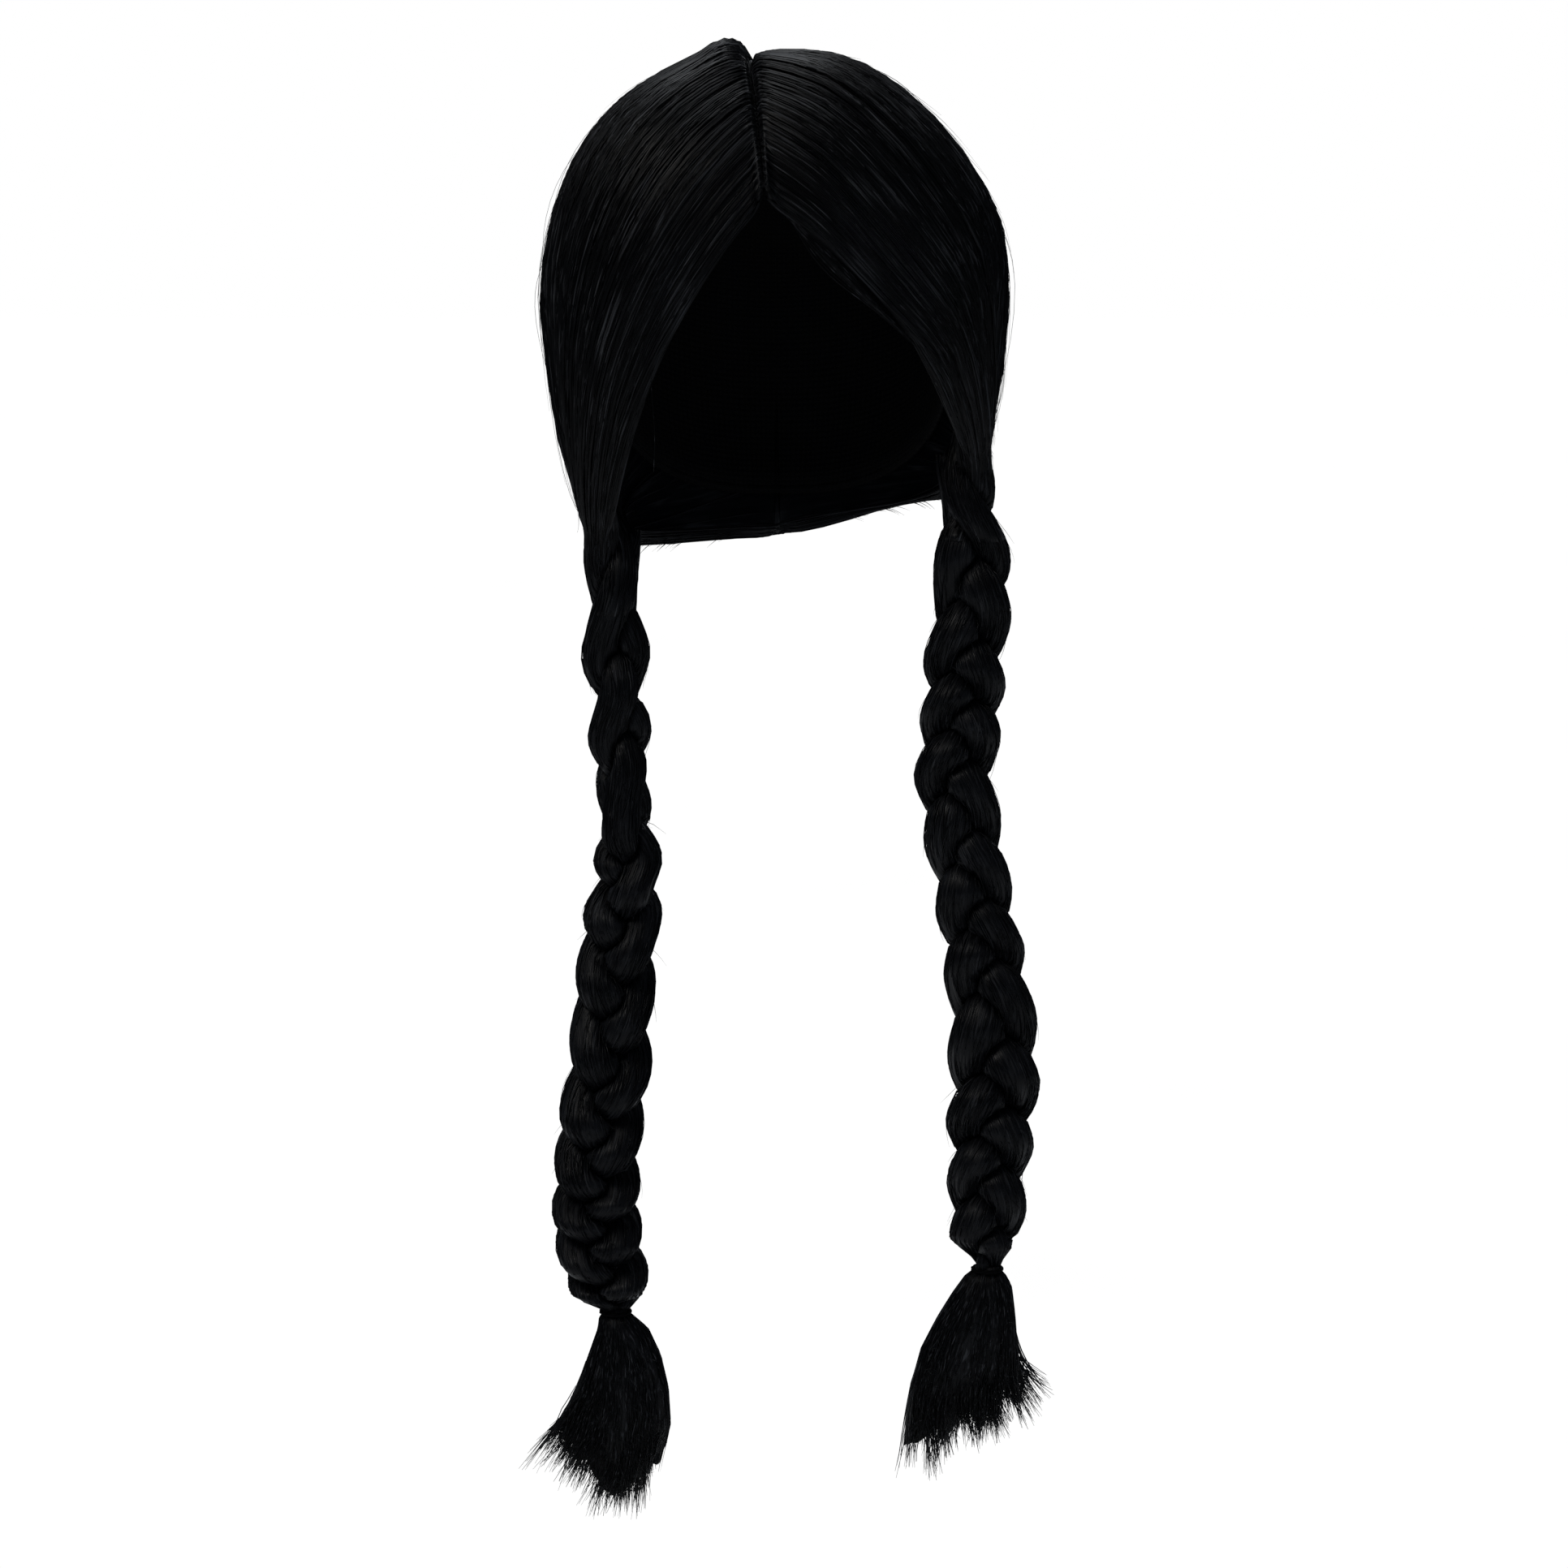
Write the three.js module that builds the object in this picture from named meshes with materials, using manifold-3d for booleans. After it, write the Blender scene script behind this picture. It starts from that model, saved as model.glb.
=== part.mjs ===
// A black synthetic pigtail wig: an elastic cap and a sewn centre parting, and on each side three swept
// bundles of hair, a three-strand braid, an elastic tie and a brush-like end. Millimetres, +Z up. The
// origin is the inside of the cap at the crown. The face looks towards -Y and the wearer's left is +X.
import * as THREE from "three";
import { mergeVertices } from "three/addons/utils/BufferGeometryUtils.js";
import Module from "manifold-3d";

const wasm = await Module();
wasm.setup();

// The head that the cap fits, measured inside the cap.
const headWidth = 148;
const headFront = 84;
const headBack = 94;
const crownHeight = 105;
const headMiddleY = 3;
const headBelow = 120;

// Walls and gaps.
const capWall = 1.5;
const seatGap = 0.8;
const sewnGap = 0.4;
const bundleGap = 0.6;
const hairWall = 11.5;

// The outside of the hair.
const hairWidth = 198;
const hairBelow = 137;
const shellPower = 2.4;

// The parting.
const partingFrontAngle = 57;
const partingBackAngle = 134;
const partingWidth = 3.6;
const partingDepth = 5;
const seamHeight = 5;
const seamWidth = 2;
const seamStart = 0.012;
const seamBackAngle = 122;
const crownRoll = 6.5;
const shoulderSlack = 6;

// The edge of the cap, as angles down from the crown.
const capEdgeFrontAngle = 55;
const capEdgeSideAngle = 98;
const capEdgeBackAngle = 128;

// Where the braids start, down from the crown and forward of the head's middle.
const rightRootDown = 189;
const leftRootDown = 156;
const rootForward = 21;
const rootSpread = 12;

// The braids and their ends. A strand's swing and size are shares of the braid's width.
const braidWidth = 36;
const braidGap = 0.5;
const swingShare = 0.2;
const depthShare = 0.15;
const wideShare = 0.32;
const deepShare = 0.28;
const fillShare = 1.3;
const tieWire = 0.7;
const neckRadius = 5.7;
const rightTieDown = 534.5;
const leftTieDown = 515;
const rightEndLength = 92;
const leftEndLength = 87;
const rightEndWidth = 52;
const leftEndWidth = 50;
const endDepth = 26;
const lockCount = 9;
const lockRadius = 7.6;
const lockTip = 1.4;
const lockTurn = 2.4;

// How finely the faceted solids are drawn.
const facets = {
  capAround: 26,
  capDown: 7,
  seamSteps: 24,
  hairAcross: 8,
  strandSides: 8,
  strandSlices: 60,
  lockSides: 6,
  lockSlices: 6,
  tieAround: 16,
  tieSection: 6,
};

const degrees = THREE.MathUtils.degToRad;
const upward = new THREE.Vector3(0, 0, 1);
const mix = THREE.MathUtils.lerp;
const smooth = (value, [from, to]) => THREE.MathUtils.smoothstep(value, from, to);

// The layers round the head: each holds the half sizes of one closed surface about the head's middle.
const layer = (growth, side, below) => ({
  side,
  front: headFront + growth,
  back: headBack + growth,
  up: crownHeight + growth,
  down: below,
});
const headLayer = layer(0, headWidth / 2, headBelow);
const capLayer = layer(capWall, headWidth / 2 + capWall, headBelow + capWall);
const hairInset = capWall + seatGap;
const innerHair = layer(hairInset, hairWidth / 2 - hairWall, hairBelow - hairWall);
const outerHair = layer(hairInset + hairWall, hairWidth / 2, hairBelow);

// The place of the parting across the head, from the forehead (0) to the nape (1), by the head's width.
const partingLine = [
  { along: 0, across: -0.037 },
  { along: 0.08, across: -0.055 },
  { along: 0.2, across: -0.078 },
  { along: 0.34, across: -0.073 },
  { along: 0.55, across: -0.027 },
  { along: 0.75, across: 0 },
  { along: 1, across: 0 },
];

// The three bundles of each side, by the stretch of the parting that each starts from and by its
// strand's place in the braid. Lift is how far the bundle's middle stands out, and the thinness is how
// much thinner it is at an edge that meets another bundle or is free, as shares of the hair's wall.
const bundles = [
  { name: "front_hair", from: 0, to: 0.3, lift: 0.1, ribs: 3, third: 0 },
  { name: "side_hair", from: 0.3, to: 0.63, lift: 0.12, ribs: 4, third: 2 },
  { name: "back_hair", from: 0.63, to: 1, lift: 0.08, ribs: 4, third: 1 },
];

// How far along a bundle each of its sections lies, where its hair starts to gather into its strand,
// and how its outside is thinned at the edges, ribbed and turned to the walls of the braid.
const bundleSections = [0, 0.013, 0.03, 0.08, 0.17, 0.28, 0.4, 0.52, 0.64, 0.75, 0.85, 0.93, 1];
const thinAtBundle = 0.12;
const thinAtFree = 0.5;
const gatherFrom = 0.6;
const wallSpanAngle = 50;
const ribShare = 0.05;

// Where each form of a bundle comes and goes: out of the parting and over the roll and the slack as
// shares of its length, the roll's ends and the level hair of the nape as shares of the parting, and
// its thin edges across it.
const partingRise = [0, 0.03];
const rollFall = [0.025, 0.15];
const rollFront = [0.15, 0.3];
const rollBack = [0.36, 0.6];
const slackFront = [0.12, 0.38];
const slackBack = [0.42, 0.68];
const napeLevel = [0.6, 1];
const edgeThinning = [0, 0.25];

// Where a braid narrows to its tie as shares of its length, and how squarely a strand faces the braid's
// middle where it starts and ends to fill it. A strand always keeps the least reach from its own
// middle.
const tieNarrowing = [0.966, 1];
const strandFill = [0.2, 0.9];
const leastReach = 0.5;

// How the locks of a loose end widen, spread and taper, and how much of the neck they start inside.
const lockWidening = [0, 0.45];
const lockTapering = [0.55, 1];
const lockSpread = 0.8;
const neckShare = 0.6;
const neckWires = 4;

// The course of each braid, with a row for each notch in its outer side. Down is a share of the braid's
// length, across and width are shares of its full width, turn is the angle that its broad face has
// turned to, and lobes counts the crossings from the root.
const rightBraidCourse = [
  { down: 0, across: 0, width: 0.74, turn: -90, lobes: 0 },
  { down: 0.105, across: 0, width: 0.76, turn: -138, lobes: 0.55 },
  { down: 0.209, across: 0.04, width: 0.76, turn: -125, lobes: 1.52 },
  { down: 0.311, across: 0.08, width: 0.74, turn: -100, lobes: 2.6 },
  { down: 0.389, across: 0.14, width: 0.76, turn: -60, lobes: 3.15 },
  { down: 0.438, across: 0.15, width: 0.82, turn: -35, lobes: 3.92 },
  { down: 0.505, across: 0.04, width: 0.9, turn: -12, lobes: 4.78 },
  { down: 0.588, across: -0.03, width: 0.93, turn: 0, lobes: 5.75 },
  { down: 0.683, across: -0.1, width: 0.97, turn: 0, lobes: 6.75 },
  { down: 0.764, across: -0.22, width: 1, turn: 0, lobes: 7.75 },
  { down: 0.838, across: -0.26, width: 1, turn: 0, lobes: 8.75 },
  { down: 0.89, across: -0.27, width: 1.04, turn: 0, lobes: 9.75 },
  { down: 0.952, across: -0.17, width: 1, turn: 0, lobes: 10.75 },
  { down: 1, across: -0.04, width: 0.9, turn: 0, lobes: 11.8 },
];
const leftBraidCourse = [
  { down: 0, across: 0, width: 0.72, turn: 90, lobes: 0 },
  { down: 0.078, across: 0.1, width: 0.78, turn: 150, lobes: 0.5 },
  { down: 0.162, across: 0.16, width: 0.9, turn: 172, lobes: 1.35 },
  { down: 0.246, across: 0.05, width: 0.92, turn: 180, lobes: 2.25 },
  { down: 0.313, across: 0.03, width: 0.95, turn: 180, lobes: 3.25 },
  { down: 0.387, across: -0.07, width: 0.92, turn: 180, lobes: 4.25 },
  { down: 0.476, across: 0.08, width: 0.92, turn: 180, lobes: 5.25 },
  { down: 0.559, across: 0.22, width: 0.9, turn: 180, lobes: 6.25 },
  { down: 0.632, across: 0.35, width: 0.98, turn: 180, lobes: 7.25 },
  { down: 0.737, across: 0.46, width: 1.08, turn: 180, lobes: 8.25 },
  { down: 0.816, across: 0.42, width: 1.04, turn: 180, lobes: 9.25 },
  { down: 0.889, across: 0.38, width: 0.95, turn: 180, lobes: 10.25 },
  { down: 0.97, across: 0.35, width: 0.86, turn: 180, lobes: 11.25 },
  { down: 1, across: 0.38, width: 0.75, turn: 180, lobes: 11.8 },
];

// The lower outline of each braid's loose end: how far down the tips reach, as a share of its length,
// at places across it that are shares of its width.
const rightEndOutline = [
  { across: -0.5, reach: 0.6 },
  { across: -0.25, reach: 0.85 },
  { across: 0.1, reach: 1 },
  { across: 0.5, reach: 0.86 },
];
const leftEndOutline = [
  { across: -0.5, reach: 0.94 },
  { across: -0.1, reach: 1 },
  { across: 0.2, reach: 0.88 },
  { across: 0.5, reach: 0.62 },
];

// The wearer's two sides. The root is where the three bundles of a side meet and the braid starts,
// across by a share of the hair's width, and first phase is how far round the plait the first bundle's
// strand starts. Roll is how far the hair stands up beside the parting and slack is how far it lies in
// at the shoulder of the head. The lean and the bow of an end are shares of its width.
const sides = [
  {
    name: "right",
    out: -1,
    rootAcross: -0.354,
    rootDown: rightRootDown,
    firstPhase: 120,
    roll: crownRoll,
    slack: 0,
    course: rightBraidCourse,
    tieDown: rightTieDown,
    endLength: rightEndLength,
    endWidth: rightEndWidth,
    endLean: -0.06,
    endBow: 0.11,
    endOutline: rightEndOutline,
  },
  {
    name: "left",
    out: 1,
    rootAcross: 0.399,
    rootDown: leftRootDown,
    firstPhase: 300,
    roll: 0,
    slack: shoulderSlack,
    course: leftBraidCourse,
    tieDown: leftTieDown,
    endLength: leftEndLength,
    endWidth: leftEndWidth,
    endLean: -0.2,
    endBow: -0.1,
    endOutline: leftEndOutline,
  },
];

for (const side of sides) {
  side.root = new THREE.Vector3(side.rootAcross * hairWidth, headMiddleY - rootForward, -side.rootDown);
}

const hairBlack = { color: 0x070708, roughness: 0.42, metalness: 0 };
const capBlack = { color: 0x0b0b0c, roughness: 0.85, metalness: 0 };
const tieBlack = { color: 0x0a0a0b, roughness: 0.6, metalness: 0 };

const headCentre = new THREE.Vector3(0, headMiddleY, -crownHeight);

// Reads a short table at a place between its rows.
function readTable(rows, key, at, column) {
  let upper = rows.findIndex((row) => row[key] >= at);
  if (upper < 0) upper = rows.length - 1;
  if (upper === 0) return rows[0][column];
  const low = rows[upper - 1];
  const high = rows[upper];
  const share = (at - low[key]) / (high[key] - low[key]);
  return mix(low[column], high[column], Math.min(share, 1));
}

// The size of a direction on the layers' rounded-box measure.
function measure(way) {
  const sum = Math.abs(way.x) ** shellPower + Math.abs(way.y) ** shellPower + Math.abs(way.z) ** shellPower;
  return sum ** (1 / shellPower);
}

// The point where a layer lies in a direction, moved outwards by a lift in millimetres.
function onLayer(way, shell, lift = 0) {
  const size = measure(way);
  const point = new THREE.Vector3(
    (way.x / size) * shell.side,
    (way.y / size) * (way.y < 0 ? shell.front : shell.back),
    (way.z / size) * (way.z > 0 ? shell.up : shell.down),
  );
  point.setLength(point.length() + lift);
  return point.add(headCentre);
}

// Equal angles round a section, the first turned by a share of a step.
function anglesRound(count, shift) {
  return Array.from({ length: count }, (_, i) => (2 * Math.PI * (i + shift)) / count);
}

// The direction of a point on the outer layer of hair.
function fromLayer(point) {
  const way = point.clone().sub(headCentre);
  way.x /= outerHair.side;
  way.y /= way.y < 0 ? outerHair.front : outerHair.back;
  way.z /= way.z > 0 ? outerHair.up : outerHair.down;
  return way.normalize();
}

// The shorter turn from one direction to another.
function turnBetween(start, end, share) {
  const angle = start.angleTo(end);
  const held = Math.sin((1 - share) * angle) / Math.sin(angle);
  const taken = Math.sin(share * angle) / Math.sin(angle);
  return start.clone().multiplyScalar(held).addScaledVector(end, taken).normalize();
}

// A closed body through rings of equal length. Each end is closed by a strip between the ring's two halves.
function loft(rings) {
  const around = rings[0].length;
  const last = (rings.length - 1) * around;
  const faces = [];
  for (let row = 0; row + 1 < rings.length; row++) {
    for (let i = 0; i < around; i++) {
      const a = row * around + i;
      const b = row * around + ((i + 1) % around);
      faces.push(a, b, b + around, a, b + around, a + around);
    }
  }
  for (let i = 0; i + 1 < around / 2; i++) {
    const j = around - 1 - i;
    faces.push(i, j, i + 1, i + 1, j, j - 1);
    faces.push(last + i, last + i + 1, last + j, last + i + 1, last + j - 1, last + j);
  }
  const points = rings.flat();
  if (enclosed(points, faces) < 0) faces.reverse();
  const geometry = new THREE.BufferGeometry().setFromPoints(points).setIndex(faces);
  geometry.computeVertexNormals();
  return geometry;
}

// Six times the volume inside the faces, negative where they look inwards.
function enclosed(points, faces) {
  let sum = 0;
  const cross = new THREE.Vector3();
  for (let i = 0; i < faces.length; i += 3) {
    cross.crossVectors(points[faces[i + 1]], points[faces[i + 2]]);
    sum += points[faces[i]].dot(cross);
  }
  return sum;
}

function asSolid(geometry) {
  const bare = new THREE.BufferGeometry();
  bare.setAttribute("position", geometry.getAttribute("position"));
  bare.setIndex(geometry.index);
  const merged = mergeVertices(bare, 1e-3);
  const vertProperties = merged.getAttribute("position").array;
  const triVerts = new Uint32Array(merged.index.array);
  return new wasm.Manifold(new wasm.Mesh({ numProp: 3, vertProperties, triVerts }));
}

function fused(geometries) {
  const mesh = geometries.map(asSolid).reduce((whole, piece) => whole.add(piece)).getMesh();
  const geometry = new THREE.BufferGeometry();
  geometry.setAttribute("position", new THREE.BufferAttribute(mesh.vertProperties, 3));
  geometry.setIndex(new THREE.BufferAttribute(mesh.triVerts, 1));
  geometry.computeVertexNormals();
  return geometry;
}

function piece(name, geometry, finish) {
  const mesh = new THREE.Mesh(geometry, new THREE.MeshStandardMaterial(finish));
  mesh.name = name;
  return mesh;
}

// The direction in which a layer meets the parting, at a share of its way from the forehead to the
// nape, and at a distance to one side of it.
function partingWay(along, shell, aside = 0) {
  const angle = degrees(mix(-partingFrontAngle, partingBackAngle, along));
  const way = new THREE.Vector3(0, Math.sin(angle), Math.cos(angle));
  const across = headWidth * readTable(partingLine, "along", along, "across") + aside;
  way.x = (across / shell.side) * measure(way);
  return way;
}

// The thin elastic cap, open for the face and the neck.
function makeCap() {
  const slope = (capEdgeBackAngle - capEdgeFrontAngle) / 2;
  const bend = (capEdgeBackAngle + capEdgeFrontAngle) / 2 - capEdgeSideAngle;
  const rowAt = (shell, share) =>
    Array.from({ length: facets.capAround }, (_, i) => {
      const round = (i / facets.capAround) * 2 * Math.PI;
      const backward = Math.sin(round);
      const tilt = degrees(capEdgeSideAngle + slope * backward + bend * backward ** 2) * share;
      const aside = Math.sin(tilt);
      return onLayer(new THREE.Vector3(aside * Math.cos(round), aside * backward, Math.cos(tilt)), shell);
    });
  const crownShare = 0.04;
  const steps = facets.capDown - 1;
  const shares = Array.from({ length: steps + 1 }, (_, i) => mix(crownShare, 1, i / steps));
  const outside = shares.map((share) => rowAt(capLayer, share));
  const inside = shares.map((share) => rowAt(headLayer, share)).reverse();
  return loft([...outside, ...inside]);
}

// The sewn strip that stands in the parting.
function makeSeam() {
  const rings = [];
  const end = (seamBackAngle + partingFrontAngle) / (partingBackAngle + partingFrontAngle);
  for (let i = 0; i <= facets.seamSteps; i++) {
    const way = partingWay(mix(seamStart, end, i / facets.seamSteps), capLayer);
    const foot = onLayer(way, capLayer, sewnGap);
    const head = foot.clone().sub(headCentre);
    head.x = 0;
    head.setLength(seamHeight).add(foot);
    const half = new THREE.Vector3(seamWidth / 2, 0, 0);
    const rightSide = [foot.clone().sub(half), head.clone().sub(half)];
    rings.push([...rightSide, head.clone().add(half), foot.clone().add(half)]);
  }
  return loft(rings);
}

// What a braid is at a share of its length: its middle, the half sizes of its strands and the place of
// each.
function braidAt(side, down) {
  const read = (column) => readTable(side.course, "down", down, column);
  const width = braidWidth * read("width");
  const gather = smooth(down, tieNarrowing);
  const tied = neckRadius / 2;
  const swing = mix(width * swingShare, tied, gather);
  const depth = mix(width * depthShare, tied, gather);
  const wide = mix(width * wideShare, tied, gather);
  const deep = mix(width * deepShare, tied, gather);
  const turn = degrees(read("turn"));
  const middle = new THREE.Vector3(
    side.root.x + braidWidth * read("across"),
    side.root.y,
    mix(side.root.z, -side.tieDown, down),
  );
  const strands = [0, 1, 2].map((third) => {
    const phase = degrees(side.firstPhase + 120 * (read("lobes") + third));
    const place = new THREE.Vector3(swing * Math.sin(phase), depth * Math.sin(2 * phase), 0);
    return place.applyAxisAngle(upward, turn).add(middle);
  });
  return { middle, turn, wide, deep, strands };
}

// One strand's section: an ellipse that reaches further towards the middle of the braid, pressed flat
// where it meets the other strands, here and half a slice away.
function strandSection(side, third, down, angles) {
  const braid = braidAt(side, down);
  const own = braid.strands[third];
  const inward = new THREE.Vector3().sub(own);
  for (const strand of braid.strands) inward.addScaledVector(strand, 1 / braid.strands.length);
  inward.setZ(0).normalize();
  const half = 0.5 / facets.strandSlices;
  const walls = [down - half, down, down + half].flatMap((place) => {
    const near = braidAt(side, THREE.MathUtils.clamp(place, 0, 1)).strands;
    return near.filter((other, i) => i !== third).map((other) => {
      const facing = other.clone().sub(near[third]).setZ(0).normalize();
      const middle = other.clone().add(near[third]).multiplyScalar(0.5);
      return { facing, room: middle.sub(own).setZ(0).dot(facing) - braidGap / 2 };
    });
  });
  return angles.map((angle) => {
    const local = angle - braid.turn;
    const way = new THREE.Vector3(Math.cos(angle), Math.sin(angle), 0);
    const fill = 1 + fillShare * smooth(way.dot(inward), strandFill);
    let reach = fill / Math.hypot(Math.cos(local) / braid.wide, Math.sin(local) / braid.deep);
    for (const wall of walls) {
      const facing = way.dot(wall.facing);
      if (facing > 0) reach = Math.min(reach, Math.max(wall.room, leastReach) / facing);
    }
    return way.multiplyScalar(reach).add(own);
  });
}

function makeStrand(side, third) {
  const angles = anglesRound(facets.strandSides, 0);
  const rootGap = bundleGap / (side.tieDown + side.root.z);
  const rings = [];
  for (let i = 0; i <= facets.strandSlices; i++) {
    rings.push(strandSection(side, third, mix(rootGap, 1, i / facets.strandSlices), angles));
  }
  return loft(rings);
}

// A bundle of hair from the parting to the root, where it has its strand's section. Its outer face and
// its inner face each run from its front edge to its back edge.
function makeBundle(side, bundle) {
  const shares = Array.from({ length: facets.hairAcross + 1 }, (_, i) => i / facets.hairAcross);
  const row = 90 - THREE.MathUtils.radToDeg(Math.atan(depthShare / swingShare));
  const frontCorner = bundle.from === 0 ? 0 : wallSpanAngle;
  const backCorner = bundle.to === 1 ? 0 : wallSpanAngle;
  const frontWall = bundle.from === 0 ? 270 : row + 180;
  const backWall = bundle.to === 1 ? 90 : row;
  const landings = (facing) =>
    shares.map((share) => {
      const front = frontWall - facing * frontCorner;
      const back = backWall + facing * backCorner + (facing > 0 ? 0 : 360);
      const angle = mix(front, back, share);
      return degrees(side.out < 0 ? angle : 180 - angle);
    });
  const fanPlace = (along) => side.root.clone().setY(side.root.y + mix(-rootSpread, rootSpread, along));
  const pointAt = (share, far, facing) => {
    const along = mix(bundle.from, bundle.to, share);
    const shell = facing > 0 ? outerHair : innerHair;
    const start = partingWay(along, shell, (side.out * partingWidth) / 2).normalize();
    const end = fromLayer(fanPlace(along));
    const way = turnBetween(start, end, far);
    const level = mix(way.z, mix(start.z, end.z, far), smooth(along, napeLevel));
    way.multiplyScalar(Math.sqrt((1 - level ** 2) / (1 - way.z ** 2))).setZ(level);
    const thinFront = (bundle.from === 0 ? thinAtFree : thinAtBundle) * (1 - smooth(share, edgeThinning));
    const thinBack = (bundle.to === 1 ? thinAtFree : thinAtBundle) * (1 - smooth(1 - share, edgeThinning));
    const rib = ribShare * Math.cos(2 * Math.PI * bundle.ribs * share);
    const swell = bundle.lift * Math.sin(Math.PI * share) - thinFront - thinBack + rib;
    const settled = smooth(far, partingRise);
    const rollAlong = smooth(along, rollFront) * (1 - smooth(along, rollBack));
    const rolled = (1 - smooth(far, rollFall)) * rollAlong;
    const slackened = smooth(far, slackFront) * (1 - smooth(far, slackBack));
    const raised = hairWall * swell + side.roll * rolled - side.slack * slackened;
    const lift = raised * settled - partingDepth * (1 - settled);
    return onLayer(way, shell, facing > 0 ? lift : 0);
  };
  const rings = bundleSections.map((far) => {
    const width = pointAt(0, far, -1).distanceTo(pointAt(1, far, -1));
    const margin = bundleGap / 2 / width;
    const face = (facing) => shares.map((share) => pointAt(mix(margin, 1 - margin, share), far, facing));
    return [...face(1), ...face(-1).reverse()];
  });
  const arrival = [
    ...strandSection(side, bundle.third, 0, landings(1)),
    ...strandSection(side, bundle.third, 0, landings(-1)).reverse(),
  ];
  const gathered = rings.map((ring, row) => {
    const gather = smooth(bundleSections[row], [gatherFrom, 1]);
    return ring.map((point, i) => point.lerp(arrival[i], gather));
  });
  return loft(gathered);
}

// The elastic tie at the foot of a braid.
function makeTie(side) {
  const end = braidAt(side, 1).middle;
  const around = neckRadius + sewnGap + tieWire;
  const ring = new THREE.TorusGeometry(around, tieWire, facets.tieSection, facets.tieAround);
  return ring.translate(end.x, end.y, end.z - tieWire - sewnGap);
}

// The loose brush below the tie: tapered locks fused to a short neck.
function makeEnd(side) {
  const end = braidAt(side, 1).middle;
  const top = end.z - sewnGap;
  const neckLength = neckWires * tieWire;
  const neck = new THREE.CylinderGeometry(neckRadius, neckRadius, neckLength, facets.tieAround);
  neck.rotateX(Math.PI / 2).translate(end.x, end.y, top - neckLength / 2);
  const leanAt = (share) => side.endLean * share + side.endBow * Math.sin(Math.PI * share);
  const corners = anglesRound(facets.lockSides, 0.5);
  const locks = Array.from({ length: lockCount }, (_, number) => {
    const across = mix(-0.5, 0.5, number / (lockCount - 1));
    const through = Math.sin(lockTurn * number + 1) / 2;
    const tip = end.z - side.endLength * readTable(side.endOutline, "across", across, "reach");
    const rings = [];
    for (let i = 0; i <= facets.lockSlices; i++) {
      const share = i / facets.lockSlices;
      const spread = Math.sin((share * Math.PI) / 2) ** lockSpread;
      const full = mix(neckRadius * neckShare, lockRadius, smooth(share, lockWidening));
      const radius = mix(full, lockTip, smooth(share, lockTapering));
      const middle = new THREE.Vector3(
        end.x + side.endWidth * leanAt(share) + (side.endWidth - lockRadius) * across * spread,
        end.y + (endDepth - 2 * lockRadius) * through * spread,
        mix(top - neckLength * neckShare, tip, share),
      );
      rings.push(
        corners.map((angle) => {
          const out = new THREE.Vector3(Math.cos(angle), Math.sin(angle), 0);
          return out.multiplyScalar(radius).add(middle);
        }),
      );
    }
    return loft(rings);
  });
  return fused([neck, ...locks]);
}

const wig = new THREE.Group();
wig.add(piece("wig_cap", makeCap(), capBlack));
wig.add(piece("parting_seam", makeSeam(), capBlack));
for (const side of sides) {
  const half = new THREE.Group();
  for (const bundle of bundles) {
    half.add(piece(`${bundle.name}_${side.name}`, makeBundle(side, bundle), hairBlack));
    const strandName = `braid_strand_${bundle.third + 1}_${side.name}`;
    half.add(piece(strandName, makeStrand(side, bundle.third), hairBlack));
  }
  half.add(piece(`hair_tie_${side.name}`, makeTie(side), tieBlack));
  half.add(piece(`braid_end_${side.name}`, makeEnd(side), hairBlack));
  wig.add(half);
}

export default wig;
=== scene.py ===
import math

import bpy
import numpy as np
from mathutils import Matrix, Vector


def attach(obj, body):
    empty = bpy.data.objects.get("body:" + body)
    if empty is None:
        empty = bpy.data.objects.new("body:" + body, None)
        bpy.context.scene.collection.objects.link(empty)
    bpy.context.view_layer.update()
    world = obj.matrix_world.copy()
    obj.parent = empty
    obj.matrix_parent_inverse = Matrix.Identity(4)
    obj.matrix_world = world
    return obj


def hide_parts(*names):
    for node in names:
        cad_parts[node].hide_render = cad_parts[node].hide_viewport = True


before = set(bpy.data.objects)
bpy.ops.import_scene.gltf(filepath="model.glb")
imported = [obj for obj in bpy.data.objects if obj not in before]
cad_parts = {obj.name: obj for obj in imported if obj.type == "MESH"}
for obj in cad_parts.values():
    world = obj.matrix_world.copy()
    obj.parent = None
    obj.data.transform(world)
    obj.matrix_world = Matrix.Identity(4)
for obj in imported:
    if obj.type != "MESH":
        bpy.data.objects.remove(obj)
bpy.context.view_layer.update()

sides = ("right", "left")
print("frame loaded")


# numbers that every piece shares, in metres

head = {
    "width": 0.148,
    "front": 0.084,
    "back": 0.094,
    "crown": 0.105,
    "below": 0.120,
    "middleY": 0.003,
}
hair = {
    "capWall": 0.0015,
    "seatGap": 0.0008,
    "wall": 0.0115,
    "width": 0.198,
    "below": 0.137,
    "power": 2.4,  # how square the layers are round the head
}
parting = {
    "frontAngle": 57,
    "backAngle": 134,
    "rim": 0.0009,  # between the two sides at the surface of the hair
    "slot": 0.0026,  # and further in, where the sewn strip stands
    "rise": 0.012,
    "depth": 0.0028,
    "along": (0, 0.08, 0.2, 0.34, 0.55, 0.75, 1),
    "across": (-0.037, -0.055, -0.078, -0.073, -0.027, 0, 0),
}
headCentre = np.array((0, head["middleY"], -head["crown"]))


def layer(growth, side, below):
    return {
        "side": side,
        "front": head["front"] + growth,
        "back": head["back"] + growth,
        "up": head["crown"] + growth,
        "down": below,
    }


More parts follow.
